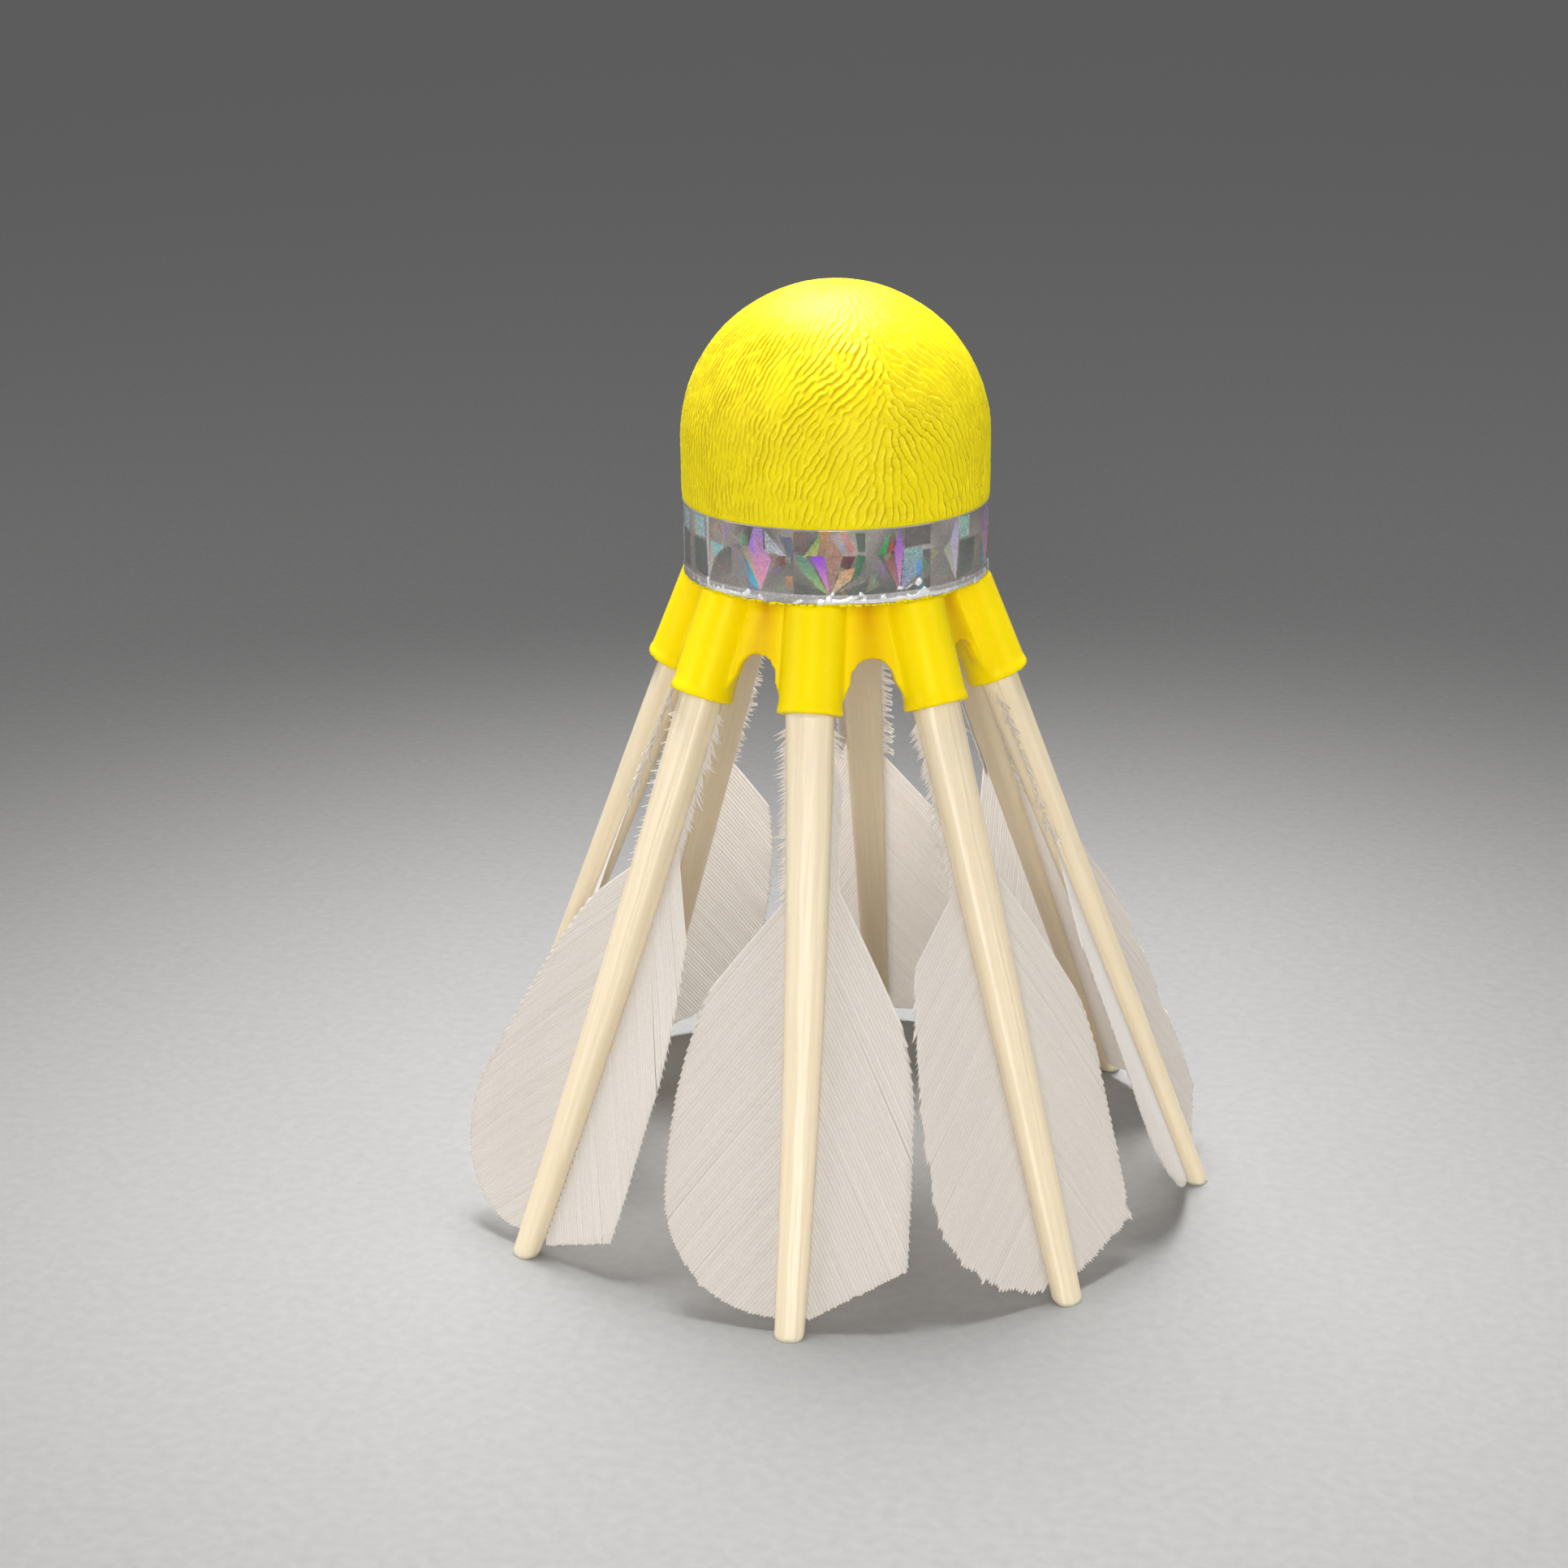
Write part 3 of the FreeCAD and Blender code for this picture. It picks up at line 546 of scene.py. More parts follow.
MAUVE = [
    ([(-0.27, 0.55), (-0.2, 0.5), (0, 0.14), (-0.17, 0.22)], (0.10, 0.20, 0.42), (0.08, 0.58, 0.76), 0.2),
    ([(-0.33, 0.72), (-0.19, 0.72), (0, 0.14)], (0.34, 0.28, 0.24), (0.78, 0.58, 0.40), 0.1),
    ([(-0.12, 0.97), (-0.19, 0.7), (0, 0.14), (0.17, 0.56), (0.05, 0.72), (0.04, 0.97)],
     (0.36, 0.24, 0.58), (0.92, 0.36, 0.46), 0.35),
    ([(-0.13, 0.9), (-0.19, 0.7), (-0.09, 0.6)], (0.34, 0.14, 0.72), (0.40, 0.20, 0.70), 0.0),
    ([(0.06, 0.96), (0.39, 0.64), (0.08, 0.65)], (0.40, 0.40, 0.48), (0.46, 0.50, 0.54), 0.9),
    ([(0.29, 0.9), (0.48, 0.88), (0.5, 0.64), (0.41, 0.64)], (0.14, 0.15, 0.24), (0.15, 0.17, 0.20), 0.1),
    ([(0.3, 0.6), (0.38, 0.62), (0.38, 0.52), (0.3, 0.5)], (0.34, 0.11, 0.08), (0.22, 0.10, 0.08), 0.0),
    ([(0.38, 0.36), (0.48, 0.36), (0.48, 0.22), (0.4, 0.22)], (0.60, 0.30, 0.14), (0.40, 0.24, 0.16), 0.3),
]
VIOLET = [
    ([(0.08, 0.98), (0.5, 0.98), (0.5, 0.72), (0.08, 0.72)], (0.15, 0.14, 0.135), (0.12, 0.12, 0.115), 0.0),
    ([(-0.33, 0.65), (-0.13, 0.97), (-0.2, 0.65)], (0.06, 0.50, 0.16), (0.07, 0.34, 0.12), 0.3),
    ([(-0.2, 0.65), (-0.11, 0.86), (-0.08, 0.7)], (0.52, 0.10, 0.06), (0.44, 0.09, 0.06), 0.1),
    ([(-0.22, 0.55), (-0.09, 0.66), (-0.01, 0.15)], (0.30, 0.09, 0.09), (0.50, 0.30, 0.28), 0.1),
    ([(0.07, 0.7), (0.37, 0.7), (0.36, 0.4), (0.02, 0.15)], (0.28, 0.46, 0.42), (0.28, 0.32, 0.50), 0.9),
    ([(0.26, 0.5), (0.36, 0.5), (0.34, 0.36), (0.25, 0.3)], (0.10, 0.34, 0.72), (0.12, 0.40, 0.66), 0.3),
    ([(0, 0.99), (-0.08, 0.7), (0, 0.14), (0.06, 0.7)], (0.26, 0.10, 0.70), (0.90, 0.36, 0.58), 0.05),
]
LILAC = [
    ([(0.08, 0.98), (0.34, 0.98), (0.34, 0.68), (0.1, 0.68)], (0.30, 0.58, 0.46), (0.40, 0.60, 0.54), 0.9),
    ([(0.1, 0.66), (0.42, 0.66), (0.42, 0.2), (0.05, 0.15)], (0.14, 0.16, 0.14), (0.20, 0.22, 0.20), 0.0),
    ([(-0.25, 0.6), (-0.13, 0.7), (0, 0.14)], (0.42, 0.52, 0.36), (0.62, 0.56, 0.50), 0.2),
    ([(0.02, 1.0), (-0.12, 0.7), (0, 0.14), (0.06, 0.7)], (0.50, 0.44, 0.74), (0.74, 0.68, 0.76), 0.2),
    ([(0.06, 1.0), (0.1, 1.0), (0.04, 0.4), (0.01, 0.14)], (0.60, 0.60, 0.62), (0.66, 0.66, 0.68), 0.0),
]
TEAL = [
    ([(-0.38, 0.98), (-0.08, 0.98), (-0.08, 0.68), (-0.38, 0.68)],
     (0.36, 0.54, 0.56), (0.42, 0.60, 0.60), 0.8),
    ([(-0.4, 0.66), (-0.06, 0.66), (-0.04, 0.15), (-0.4, 0.2)], (0.16, 0.18, 0.17), (0.13, 0.15, 0.14), 0.0),
    ([(0.05, 0.66), (0.2, 0.6), (0, 0.14)], (0.60, 0.46, 0.42), (0.56, 0.60, 0.52), 0.4),
    ([(0.06, 0.68), (0.36, 0.64), (0.14, 0.46)], (0.28, 0.62, 0.64), (0.34, 0.56, 0.58), 0.4),
    ([(-0.05, 1.0), (0.02, 1.0), (0.02, 0.14), (-0.02, 0.14)], (0.56, 0.62, 0.62), (0.60, 0.60, 0.60), 0.1),
]
DESIGNS = [EMBER, VIOLET, LILAC, TEAL, MAUVE]
FACING = {0: EMBER, 1: VIOLET, 2: LILAC, 12: TEAL, 13: MAUVE}     # the designs that the front shows
MIRRORED = (4, 7, 9, 11)
SHARDS = 22                         # small random shards behind each motif


def inside_polygon(corners, x, y):
    """Which points lie inside a polygon."""
    inside = np.zeros(x.shape, bool)
    for (x1, y1), (x2, y2) in zip(corners, corners[1:] + corners[:1]):
        if y1 == y2:
            continue
        crosses = (y1 > y) != (y2 > y)
        inside ^= crosses & (x < (x2 - x1) * (y - y1) / (y2 - y1) + x1)
    return inside


def paint_facet(tint, tilt, across, up, facet, rng, strength):
    """Lay one facet's colours, painted glitter glints and slope over the unrolled band."""
    corners, top, bottom, glitter = facet
    chosen = inside_polygon(corners, across, up)
    lowest, highest = min(c[1] for c in corners), max(c[1] for c in corners)
    share = np.clip((up - lowest) / (highest - lowest), 0, 1)[..., None]
    colour = np.array(bottom) + (np.array(top) - np.array(bottom)) * share
    # Painted glints: random points of the facet are brightened, others made a little darker.
    shine = rng.uniform(size=across.shape)[..., None]
    painted_glint = np.where(shine > 0.72, 1.0 + 0.55 * glitter, 1.0 - 0.25 * glitter * (shine < 0.4))
    tint[chosen] = (colour * painted_glint * strength + tint * (1 - strength))[chosen]
    slope = rng.uniform(-0.05, 0.05, 2)
    middle = np.mean(corners, axis=0)
    plane = slope[0] * (across - middle[0]) + slope[1] * (up - middle[1])
    tilt[chosen] = plane[chosen]


def ground_facets(ground):
    """The large dull facets behind a motif, and the pale foot of the band."""
    return [([(-0.5, 0.66), (0.5, 0.66), (0.5, 0.1), (-0.5, 0.1)], ground, ground, 0.15),
            ([(0, 0.13), (-0.34, 0.66), (-0.5, 0.66), (-0.5, 0.3)], TAUPE, ground, 0.1),
            ([(0, 0.13), (0.5, 0.3), (0.5, 0.66), (0.3, 0.66)], DARK, TAUPE, 0.1),
            ([(-0.5, 0.12), (0, 0.13), (0.5, 0.12), (0.5, 0.0), (-0.5, 0.0)], PALE, TAUPE, 0.4),
            ([(0, 0.13), (-0.08, 0.0), (0.09, 0.0)], (0.55, 0.52, 0.5), PALE, 0.1)]


def shard_facets(rng):
    """Small random triangles in the accent colours."""
    shards = []
    for _ in range(SHARDS):
        middle = rng.uniform((-0.46, 0.12), (0.46, 0.92))
        corners = middle + rng.uniform(-1, 1, (3, 2)) * (0.13, 0.2)
        colour = ACCENTS[rng.integers(len(ACCENTS))]
        shards.append((np.clip(corners, (-0.5, 0.1), (0.5, 0.97)).tolist(), colour, colour, 0.5))
    return shards


def paint_motifs(tint, tilt, east, up, rng):
    """Lay the ground, shards and design of every motif round the band."""
    repeat = TAU / MOTIFS
    for motif in range(MOTIFS):
        across = (east - FIRST_FOCUS - motif * repeat + math.pi) % TAU - math.pi
        across = across / repeat
        design = FACING.get(motif, DESIGNS[(motif * 3) % len(DESIGNS)])
        mirror = -1.0 if motif in MIRRORED else 1.0
        ground = TAUPE if design in (LILAC, TEAL, MAUVE) else DARK
        layers = [(ground_facets(ground), 1.0), (shard_facets(rng), 0.3), (design, 0.86)]
        for facets, strength in layers:
            for corners, *looks in facets:
                turned = [(mirror * x, y) for x, y in corners]
                paint_facet(tint, tilt, across, up, (turned, *looks), rng, strength)


def white_glare(place, up):
    """How much painted glare whitens the crinkled foot of the band, 0 to 1."""
    crumple = waves(place, 0.5, 43, 50)
    side = 0.5 + 0.5 * np.clip(waves(place * (1, 1, 0), 9.0, 44, 12), -1, 1)
    white = np.clip((crumple + 1.3 * side - 1.1 - 14.0 * np.abs(up - 0.05)) * 2.5, 0, 1)
    return np.maximum(white, np.clip(side * 1.6 - 0.5, 0, 0.8) * (np.abs(up - 0.035) < 0.02))


def make_band():
    """Film ribbon round the lower end of the head: facets painted and tilted on a fine grid."""
    rng = np.random.default_rng(23)
    height = BAND_TOP - BAND_BOTTOM
    azimuth = np.arange(BAND_COLUMNS) / BAND_COLUMNS * TAU
    levels = np.linspace(0.0, 1.0, BAND_ROWS)
    up, east = np.meshgrid(levels, azimuth, indexing="ij")
    place = ring_points(BAND_RADIUS, east, up * height)
    cloud = waves(place, 2.4, 41, 30)[..., None]
    lower = np.array(DARK) * (1.15 + 0.25 * cloud)
    upper = np.array(TAUPE) * (1.0 + 0.2 * cloud)
    tint = np.where(up[..., None] > 0.66, upper, lower)
    tilt = np.zeros(up.shape)
    paint_motifs(tint, tilt, east, up, rng)
    # Painted glints: the crinkled foot of the band is whitened where light would glance off it.
    white = white_glare(place, up)
    tint = tint * (1 - white[..., None]) + 0.86 * white[..., None]
    tint[levels > 0.985] = (0.45, 0.43, 0.36)
    r = BAND_RADIUS + (0.012 * waves(place, 3.0, 45, 20) + tilt + 0.05 * white)
    r[0] += 0.03 * rng.uniform(-1, 1, BAND_COLUMNS)
    z = BAND_BOTTOM + up * height
    z[0] += 0.04 * waves(place[0], 0.7, 46, 20)
    inner = np.full((1, BAND_COLUMNS), BAND_RADIUS - 0.18)
    r = np.vstack([inner, r, inner])
    z = np.vstack([z[:1], z, z[-1:]])
    tint = np.concatenate([tint[:1], tint, tint[-1:]])
    points = ring_points(r, azimuth, z).reshape(-1, 3)
    base = (len(r) - 1) * BAND_COLUMNS
    column = np.arange(BAND_COLUMNS)
    after = (column + 1) % BAND_COLUMNS
    back = np.stack([base + column, base + after, after, column], axis=-1)
    piece = make_piece("film_band", points, np.vstack([grid_quads(len(r), BAND_COLUMNS, True), back]))
    colours = np.concatenate([np.clip(tint, 0, 1).reshape(-1, 3), np.ones((len(points), 1))], axis=1)
    attribute = piece.data.color_attributes.new("tint", "FLOAT_COLOR", "POINT")
    attribute.data.foreach_set("color", colours.astype(np.float32).ravel())
    piece.data.materials.append(film_material())
    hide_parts("head_band")
    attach(piece, "head")


# ---------------------------------------------------------------- collar

def painted_socket_shade(places):
    """How much painted shade each place of the collar gets, 0 to 1: more between the sockets and up under
    the band.
    """
    nearest = np.full(len(places), np.inf)
    for number in range(1, len(FEATHERS) + 1):
        rim, _, _, down = feather_axes(number)
        away = places - rim
        off = np.linalg.norm(away - (away @ down)[:, None] * down, axis=1)
        nearest = np.minimum(nearest, off)
    low = np.clip((BAND_BOTTOM + 0.5 - places[:, 2]) / 4.0, 0, 1)
    return np.clip((nearest - 2.75) / 1.6, 0, 1) * (0.45 + 0.55 * (1 - low))


def make_collar():
    """The collar with its moulded edges rounded: remeshed from the CAD node, then smoothed."""
    source = frame["nodes"]["collar"]
    copy = bpy.data.objects.new("collar_draft", source.data.copy())
    bpy.context.scene.collection.objects.link(copy)
    remesh = copy.modifiers.new("remesh", "REMESH")
    remesh.mode = "VOXEL"
    remesh.voxel_size = 0.2 * MM
    smooth = copy.modifiers.new("smooth", "SMOOTH")
    smooth.factor = 0.5
    smooth.iterations = 5
    ready = copy.evaluated_get(bpy.context.evaluated_depsgraph_get())
    mesh = bpy.data.meshes.new_from_object(ready)
    mesh.name = "collar_shell"
    mesh.polygons.foreach_set("use_smooth", [True] * len(mesh.polygons))
    bpy.data.objects.remove(copy)
    piece = bpy.data.objects.new("collar_shell", mesh)
    bpy.context.scene.collection.objects.link(piece)
    places = np.empty(len(mesh.vertices) * 3, np.float32)
    mesh.vertices.foreach_get("co", places)
    # The recess value is painted shade for the collar's hollows.
    give_values(piece, "recess", painted_socket_shade(places.reshape(-1, 3) / MM))
    mesh.materials.clear()
    mesh.materials.append(collar_material())
    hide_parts("collar")
    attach(piece, "head")


# ---------------------------------------------------------------- feathers

def feather_axes(number):
    """Rim centre, and the directions along the rim, inwards and down the shaft, in millimetres."""
    joint = [item for item in frame["joints"] if item["name"] == f"feather_{number}_pull"][0]
    down = np.array(joint["axis"], float)
    turn = STEP * (number - 1)
    sideways = np.array([math.cos(turn), math.sin(turn), 0.0])
    inwards = np.cross(-down, sideways)
    rim = np.array([RIM_RADIUS * math.sin(turn), -RIM_RADIUS * math.cos(turn), RIM_HEIGHT])
    return rim, sideways, inwards, down


def feather_points(number, side, depth, down):
    """Points of a feather from its own coordinates: sideways, inwards, and down the shaft."""
    rim, sideways, inwards, along = feather_axes(number)
    side, depth, down = np.broadcast_arrays(side, depth, down)
    return rim + side[..., None] * sideways + depth[..., None] * inwards + down[..., None] * along


def centre_line(number, down):
    """Sideways place of the shaft's middle."""
    feather = FEATHERS[number - 1]
    share = np.asarray(down) / SHAFT_LENGTH
    return feather["lean"] * share + feather["bow"] * 4 * share * (1 - share)


def shaft_size(index, down):
    """Half width (0) or half depth (1) of the shaft."""
    share = np.asarray(down) / SHAFT_LENGTH
    return SHAFT_HALF[index] + (TIP_HALF[index] - SHAFT_HALF[index]) * share


def shaft_section(theta, down, number):
    """The shaft's outline: a rounded rectangle with a ridge and two grooves on its outer face."""
    half_width = shaft_size(0, down)
    half_depth = shaft_size(1, down)
    x = np.sign(np.cos(theta)) * np.abs(np.cos(theta)) ** 0.72
    y = np.sign(np.sin(theta)) * np.abs(np.sin(theta)) ** 0.72
    wander = 0.06 * np.sin(down * 0.21 + number) + 0.03 * np.sin(down * 0.63 + 2 * number)
    outer = np.clip(-y, 0, 1) ** 0.5
    ridge = np.exp(-(((x + 0.16 - wander) / 0.12) ** 2)) - 1.1 * np.exp(-(((x - wander) / 0.055) ** 2))
    ridge = ridge - 0.8 * np.exp(-(((x - 0.68 - wander) / 0.06) ** 2))
    y = y - 0.05 * ridge * outer + 0.12 * np.abs(x) * outer
    return x * half_width, y * half_depth


PLUG = [(-PLUG_LENGTH + PLUG_BORE_DEPTH, 0.05), (-PLUG_LENGTH + PLUG_BORE_DEPTH, PLUG_BORE),
        (-PLUG_LENGTH, PLUG_BORE), (-PLUG_LENGTH, PLUG_RADIUS - 0.1), (-PLUG_LENGTH + 0.2, PLUG_RADIUS),
        (-4.0, PLUG_RADIUS), (-0.3, PLUG_RADIUS)]   # place along the shaft and radius of the plug's rings
QUILL_COLUMNS, QUILL_STEPS = 120, 110
TIP_CUT = [(0.80, 0.0), (0.72, 0.25), (0.05, 0.45)]     # share of the tip's outline, and recess


def quill_rings(number):
    """Rings of the quill from its bore to its cut tip: sideways, inwards and down, three arrays each."""
    theta = np.arange(QUILL_COLUMNS) / QUILL_COLUMNS * TAU
    rim, _, inwards, down = feather_axes(number)
    rings = [(np.cos(theta) * radius, np.sin(theta) * radius, np.full(QUILL_COLUMNS, level))
             for level, radius in PLUG]
    for step in range(QUILL_STEPS + 1):
        share = step / QUILL_STEPS
        guess = SHAFT_START + (SHAFT_LENGTH - SHAFT_START) * share
        x, y = shaft_section(theta, guess, number)
        end = (rim[2] + inwards[2] * y) / -down[2]
        level = SHAFT_START + (end - SHAFT_START) * share
        rings.append((x + centre_line(number, guess), y, level))
    last_x, last_y, last_level = rings[-1]
    middle = centre_line(number, SHAFT_LENGTH)
    chip = 0.94 + 0.03 * np.sin(3 * theta + number) * (np.sin(theta) > 0)
    rings[-1] = ((last_x - middle) * chip + middle, last_y * chip, last_level)
    rings.insert(-1, (last_x, last_y, last_level - 0.35))
    for inset, recess in TIP_CUT:
        y = last_y * inset
        level = (rim[2] + inwards[2] * y) / -down[2] - recess
        rings.append(((last_x - middle) * inset + middle, y, level))
    return [np.array(parts) for parts in zip(*rings)]


def make_quill(number):
    """Quill: hollow plug, shaft with long ridges, tip cut level with the floor and showing its pith."""
    side, depth, level = quill_rings(number)
    points = feather_points(number, side, depth, level).reshape(-1, 3)
    points[:, 2] = np.clip(points[:, 2], 0.0, None)
    piece = make_piece(f"quill_{number}_shaft", points, grid_quads(len(side), QUILL_COLUMNS, True))
    cut = np.zeros_like(side)
    cut[-len(TIP_CUT):] = 1.0
    give_values(piece, "cut", cut)
    give_values(piece, "along", level + 17.0 * number)
    give_values(piece, "across", side * 0.9 + np.sign(depth) * 3.0)
    piece.data.materials.append(QUILL)
    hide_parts(f"quill_{number}")
    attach(piece, f"feather_{number}")


def arc_width(down, first, via, last):
    """Width at a place down the shaft, on the arc through three (down, width) points."""
    (x1, y1), (x2, y2), (x3, y3) = first, via, last
    spread = 2 * (x1 * (y2 - y3) + x2 * (y3 - y1) + x3 * (y1 - y2))
    a, b, c = x1 * x1 + y1 * y1, x2 * x2 + y2 * y2, x3 * x3 + y3 * y3
    cx = (a * (y2 - y3) + b * (y3 - y1) + c * (y1 - y2)) / spread
    cy = (a * (x3 - x2) + b * (x1 - x3) + c * (x2 - x1)) / spread
    radius = math.hypot(x1 - cx, y1 - cy)
    return cy + np.sqrt(np.clip(radius ** 2 - (down - cx) ** 2, 0, None))


PLAIN, STUB, SWEPT = 0, 1, 2            # kinds of barb: whole, clipped short, and swept along the shaft
LIMITS = {PLAIN: 99.0, STUB: 1.6, SWEPT: 3.2}
SWEPT_FEATHERS = (1, 2, 4, 5, 6)        # the right combs of these are swept
BACK_FEATHERS = (4, 5, 6)               # these look smoother, with less painted shade between their barbs
STUB_PITCH, BARB_PITCH = 0.24, 0.30
LINES = ((-1.0, 0.10), (0.0, -0.06), (1.0, 0.05))       # a ribbon's lines: place across, and height
# Painted shade: a barb's two edge lines are darker, where its neighbours shade the groove between them; its
# middle line is a touch lighter as a painted highlight.
LINE_PAINTED_SHADE = np.array([-0.42, 0.04, -0.16])
SEGMENTS = 14
TRAVEL = np.arange(0.0, 34.0, 0.05)     # places along a barb


def vane_seed(base, number, side):
    """A seed of its own for each vane."""
    return base + number * 2 + (side > 0)


def vane_width(number, side, down):
    """Distance from the shaft's middle to the vane's edge."""
    feather = FEATHERS[number - 1]
    end = (VANE_END, TIP_HALF[0] + 0.3)
    if side < 0:
        start = LEFT_START
        shares = (feather["left_top"], feather["left_mid"], 1.0, 1.0)
        points = [(s, w * feather["left"] * share) for (s, w), share in zip(LEFT_OUTLINE, shares)]
        shoulder, bulge, widest, turn = points
        lower = arc_width(down, widest, turn, end)
    else:
        start = RIGHT_START
        shares = (feather["right_top"], 1.0, 1.0)
        points = [(s, w * feather["right"] * share) for (s, w), share in zip(RIGHT_OUTLINE, shares)]
        shoulder, bulge, widest = points
        corner = feather["corner"]
        cut = widest[1] + (end[1] - widest[1]) * (down - corner) / (end[0] - corner)
        lower = np.where(down < corner, widest[1], cut)
    first = shaft_size(0, start) + COMB_WIDTH
    slope = first + (shoulder[1] - first) * (down - start) / (shoulder[0] - start)
    upper = arc_width(down, shoulder, bulge, widest)
    width = np.where(down < start, shaft_size(0, down) + COMB_WIDTH, slope)
    width = np.where(down > shoulder[0], upper, width)
    width = np.where(down > widest[0], lower, width)
    for place, depth, reach in NOTCHES.get((number, side), []):
        width = width - depth * np.clip(1.0 - np.abs(down - place) / reach, 0, 1)
    return np.where(down > VANE_END, 0.0, width)


def vane_depth(number, side, out, down):
    """How far inwards the vane's surface lies at a distance from the shaft's middle."""
    turn = math.radians(FEATHERS[number - 1]["left_turn" if side < 0 else "right_turn"])
    place = np.stack(np.broadcast_arrays(out * 0.6, down * 0.6, side * 5.0 + 0.0 * out), axis=-1)
    ripple = 0.12 * waves(place, 6.0, vane_seed(100, number, side)) * np.clip((out - 2.0) / 5.0, 0, 1)
    return VANE_PLANE + out ** 2 / (2 * VANE_CAMBER) - out * math.sin(turn) + ripple


def exit_distance(number, side, down, out):
    """How far along a line of a barb the vane's edge is."""
    inside = out < vane_width(number, side, down)
    if inside.all():
        return TRAVEL[-1]
    return TRAVEL[int(np.argmin(inside))]


def barb_roots(number, side, angle):
    """Where barbs leave the shaft, each one's angle and its kind."""
    rng = np.random.default_rng(vane_seed(2000, number, side))
    start = LEFT_START if side < 0 else RIGHT_START
    stubs = np.arange(COMB_START, start - 0.1, STUB_PITCH)
    swept = (stubs > 3.2) & (side > 0) & (number in SWEPT_FEATHERS)
    clumps = np.repeat(rng.normal(0, 1, len(stubs)), 3)[:len(stubs)]
    spread = np.radians(clumps + 0.5 * rng.normal(0, 1, len(stubs))) * np.where(swept, 1.0, 9.0)
    stub_angles = np.where(swept, math.radians(17.0), math.radians(60.0)) + spread
    roots = np.arange(start, VANE_END - 0.4, BARB_PITCH / math.sin(angle))
    sway = np.radians(0.12) * waves(roots[:, None], 3.0, vane_seed(300, number, side), 12)
    first = rng.integers(int(len(roots) * 0.2), len(roots) - 12)
    fade = np.clip(1.0 - np.arange(len(roots) - first) / 6.0, 0, 1)
    sway[first:] -= math.radians(rng.uniform(0.15, 0.45)) * fade
    kinds = np.concatenate([np.where(swept, SWEPT, STUB), np.full(len(roots), PLAIN)])
    return np.concatenate([stubs, roots]), np.concatenate([stub_angles, angle + sway]), kinds


def running_sum(rate):
    """A rate's sum along a barb, from its root."""
    return np.concatenate([[0], np.cumsum(rate[:-1] * np.diff(TRAVEL))])


def barb_ribbon(number, side, root, angle, kind, fraying, rng):
    """Points of one barb: three lines side by side, each ending at the vane's edge on its own."""
    stub = kind == STUB
    heading = (angle + math.radians(rng.normal(0, 0.05))) * (1.0 - 0.12 * np.clip(TRAVEL / 22.0, 0, 1))
    down = root + rng.normal(0, 0.01) + running_sum(np.cos(heading))
    out = shaft_size(0, root) - 0.3 + running_sum(np.sin(heading))
    half = 0.5 * BARB_PITCH * (0.8 if stub else 1.22)
    sharpness = 0.30 if stub or fraying > 0.07 else 0.12
    fray = rng.normal(0, 0.18 if stub else fraying)
    if rng.uniform() < 0.12:
        fray += rng.uniform(0.0, 4.0 * fraying)
    curl = rng.normal(-0.1, 0.16) if stub else 0.0
    ribbon = []
    for offset, lift in LINES:
        across_out, across_down = offset * half * np.cos(heading), offset * half * np.sin(heading)
        reach = exit_distance(number, side, down - across_down, out + across_out) + fray
        reach = min(max(reach, 0.3), LIMITS[kind])
        taper = np.clip((reach - TRAVEL) / sharpness, 0.25, 1.0)
        if stub:
            taper = np.clip(1.9 * (1.0 - TRAVEL / reach), 0.22, 1.35)
        along = np.append(np.linspace(0, max(reach - sharpness, 0.15), SEGMENTS), reach)
        out_here = np.interp(along, TRAVEL, out + across_out * taper)
        down_here = np.interp(along, TRAVEL, down - across_down * taper)
        depth = vane_depth(number, side, out_here, down_here) + lift + curl * along
        centre = centre_line(number, down_here)
        ribbon.append(feather_points(number, centre + side * out_here, depth, down_here))
    return np.stack(ribbon, axis=1).reshape(-1, 3)


def make_vane(number, side):
    """One vane, barb by barb. Each barb is a thin ridged ribbon that runs out and down from the shaft."""
    label = "left" if side < 0 else "right"
    feather = FEATHERS[number - 1]
    rng = np.random.default_rng(vane_seed(1000, number, side))
    roots, angles, kinds = barb_roots(number, side, math.radians(feather[f"{label}_barbs"]))
    drift = 0.05 * waves(roots[:, None], 0.9, vane_seed(500, number, side), 12)
    line_painted_shade = LINE_PAINTED_SHADE * (0.4 if number in BACK_FEATHERS else 1.0)
    points, tones = [], []
    for root, angle, kind, shift in zip(roots, angles, kinds, drift):
        points.append(barb_ribbon(number, side, root, angle, kind, feather[f"{label}_fray"], rng))
        shade = (1.0 if kind == STUB else 0.72) + shift + rng.normal(0, 0.05)
        # The tone values hold each barb's own tone plus painted shade along its edge lines.
        tones.append(np.tile(shade + line_painted_shade, SEGMENTS + 1))
    quads = grid_quads(SEGMENTS + 1, len(LINES), False)
    starts = np.arange(len(points)) * len(points[0])
    faces = (quads[None] + starts[:, None, None]).reshape(-1, 4)
    piece = make_piece(f"vane_{label}_{number}_barbs", np.vstack(points), faces)
    give_values(piece, "tone", np.clip(np.concatenate(tones), 0, 1))
    piece.data.materials.append(VANE)
    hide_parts(f"vane_{label}_{number}")
    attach(piece, f"feather_{number}")


# ---------------------------------------------------------------- studio

# Distance from the Z axis and height in millimetres, angles in degrees, focal length on a 36 mm sensor.
CAMERA = {"distance": 231.3, "height": 116.8, "around": 8.96, "yaw": -1.18, "pitch": -19.0, "roll": -0.6,
          "lens": 62.27}
# Name, place and width in millimetres, power in watts, spread in degrees.
LAMPS = [
    ("lamp_top", (-30, 90, 300), 150, 0.25, 60.0),
    ("lamp_left", (-380, -200, 170), 240, 0.62, 180.0),
    ("lamp_right", (400, -160, 170), 240, 0.5, 180.0),
    ("lamp_front", (60, -480, 260), 300, 0.48, 180.0),
    ("lamp_low", (100, -900, 230), 300, 0.29, 50.0),
]
AIM_HEIGHT = 45                     # the lamps point at this height on the Z axis
FLOOR_REACH = 6000.0


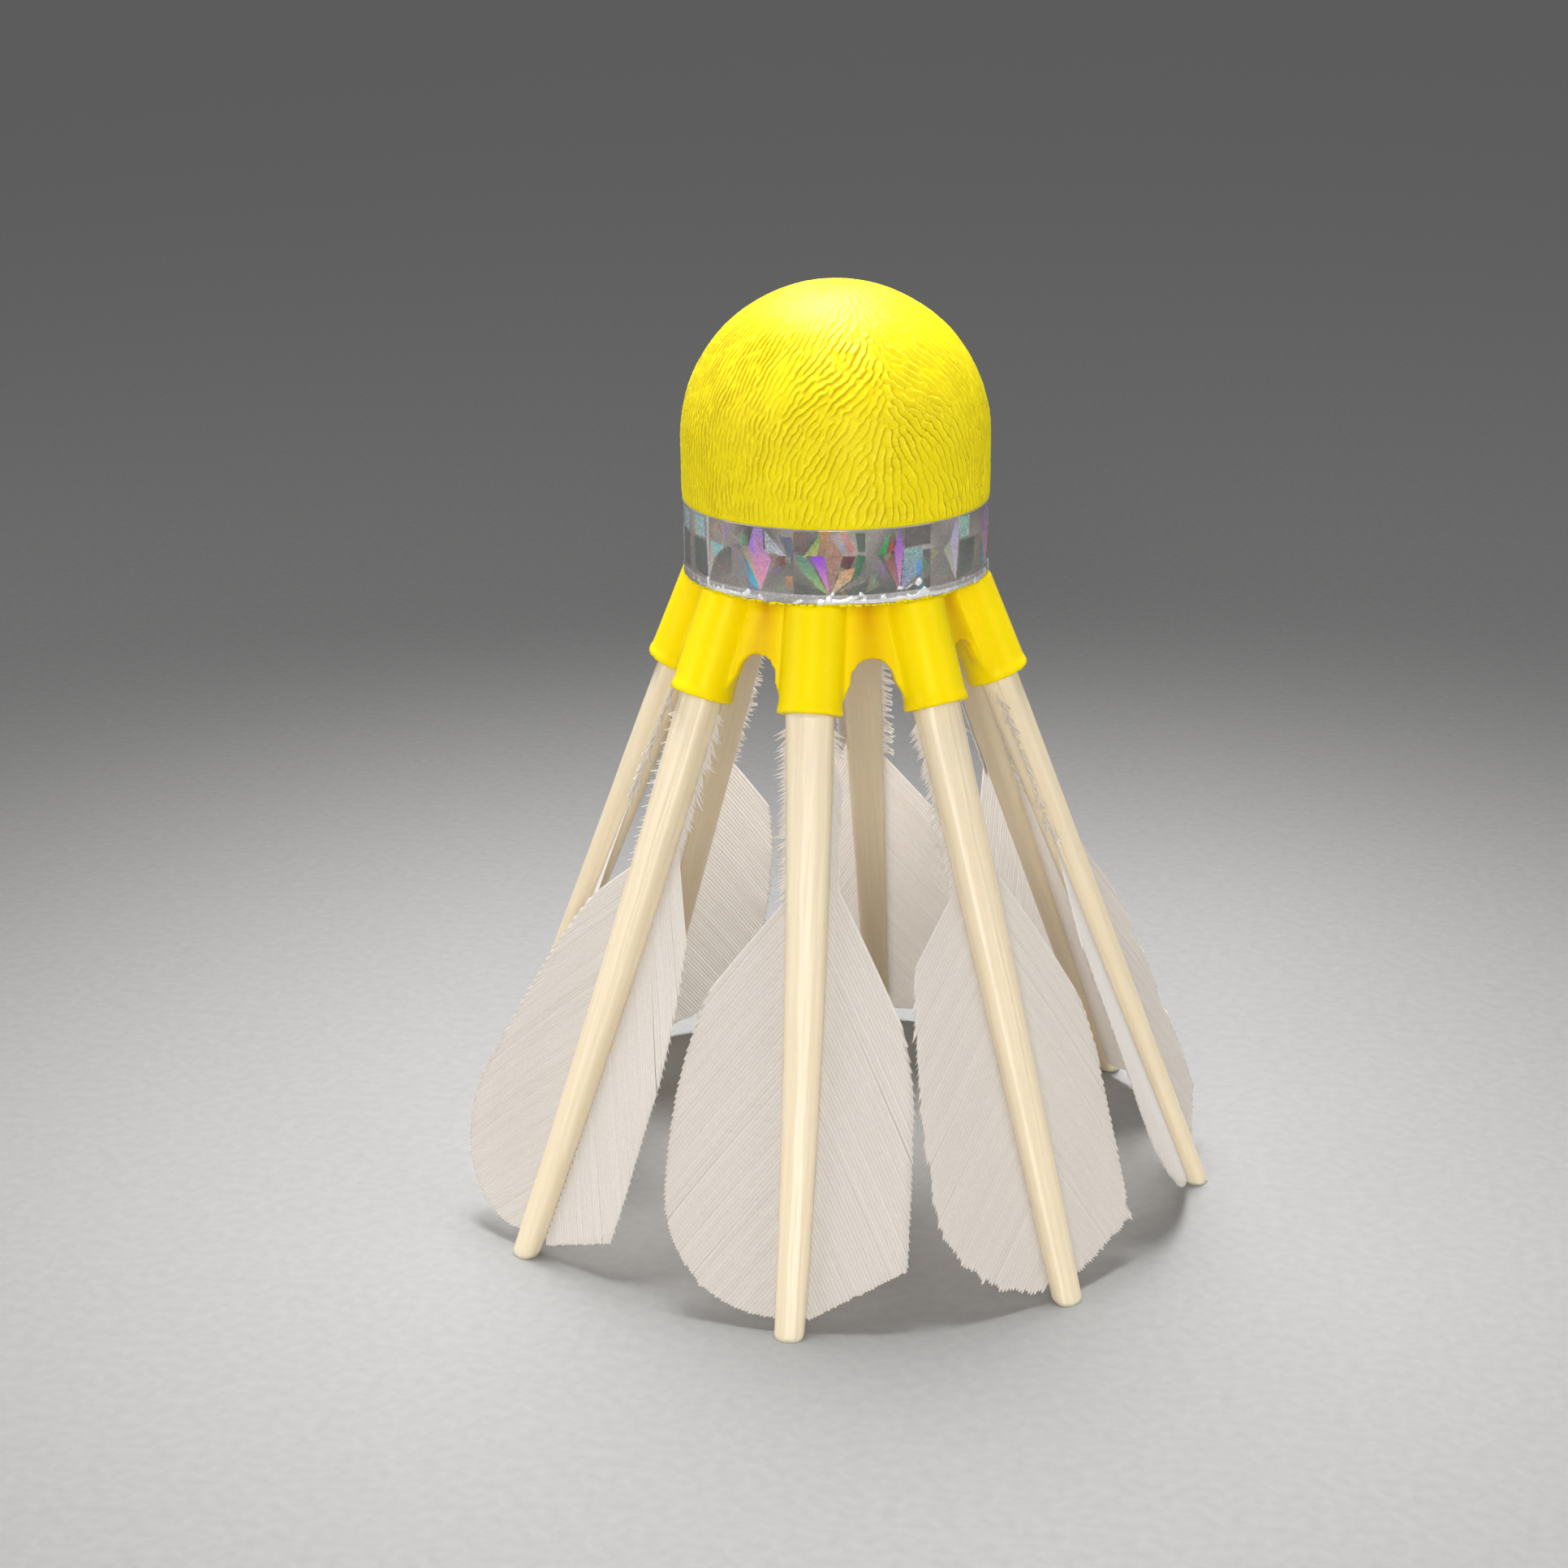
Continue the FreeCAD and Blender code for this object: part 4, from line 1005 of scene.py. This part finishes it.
def make_camera():
    """Camera at the viewing angle, worked out from its place on a circle round the object."""
    data = bpy.data.cameras.new("camera")
    data.lens = CAMERA["lens"]
    data.sensor_width = 36.0
    data.clip_start = 0.01
    camera = bpy.data.objects.new("camera", data)
    bpy.context.scene.collection.objects.link(camera)
    around = math.radians(CAMERA["around"])
    place = Vector((math.sin(around), -math.cos(around), 0)) * CAMERA["distance"]
    place.z = CAMERA["height"]
    turn = Matrix.Rotation(around - math.radians(CAMERA["yaw"]), 4, "Z")
    tip = Matrix.Rotation(math.radians(90 + CAMERA["pitch"]), 4, "X")
    roll = Matrix.Rotation(math.radians(CAMERA["roll"]), 4, "Z")
    camera.matrix_world = Matrix.Translation(place * MM) @ turn @ tip @ roll
    bpy.context.scene.camera = camera


def add_lamp(name, place, size, power, spread):
    """A square soft lamp aimed at the middle of the object, unseen by the camera."""
    data = bpy.data.lights.new(name, "AREA")
    data.size = size * MM
    data.energy = power
    data.spread = math.radians(spread)
    lamp = bpy.data.objects.new(name, data)
    bpy.context.scene.collection.objects.link(lamp)
    lamp.location = Vector(place) * MM
    aim = Vector((0, 0, AIM_HEIGHT * MM)) - lamp.location
    lamp.rotation_euler = aim.to_track_quat("-Z", "Y").to_euler()
    lamp.visible_camera = False


def make_studio():
    """Pale floor, soft lamps above, in front and on both sides, pale surroundings."""
    sides = ((-1, -1), (1, -1), (1, 1), (-1, 1))
    corners = [(x * FLOOR_REACH, y * FLOOR_REACH, 0) for x, y in sides]
    floor = make_piece("floor", corners, [(0, 1, 2, 3)], smooth=False)
    material, tree, shader = new_material("floor_paper")
    grain = noise_of(tree, object_place(tree), 900.0)
    colour = ramp_of(tree, grain, [(0.3, (0.28, 0.277, 0.273)), (0.7, (0.31, 0.306, 0.302))])
    set_inputs(tree, shader, {"Base Color": colour, "Roughness": 0.8})
    floor.data.materials.append(material)
    for lamp in LAMPS:
        add_lamp(*lamp)
    world = bpy.data.worlds.new("surroundings")
    world.use_nodes = True
    background = world.node_tree.nodes["Background"]
    set_inputs(world.node_tree, background, {"Color": (0.92, 0.92, 0.93), "Strength": 0.32})
    bpy.context.scene.world = world
    bpy.context.scene.view_settings.view_transform = "Standard"


# ---------------------------------------------------------------- build

make_camera()
make_studio()
QUILL = quill_material()
VANE = vane_material()
make_skin()
make_band()
make_collar()
for feather_number in range(1, len(FEATHERS) + 1):
    make_quill(feather_number)
    make_vane(feather_number, -1)
    make_vane(feather_number, 1)
core = frame["nodes"]["head_core"]
core.data.materials.clear()
core.data.materials.append(cork_material())

bpy.context.view_layer.update()
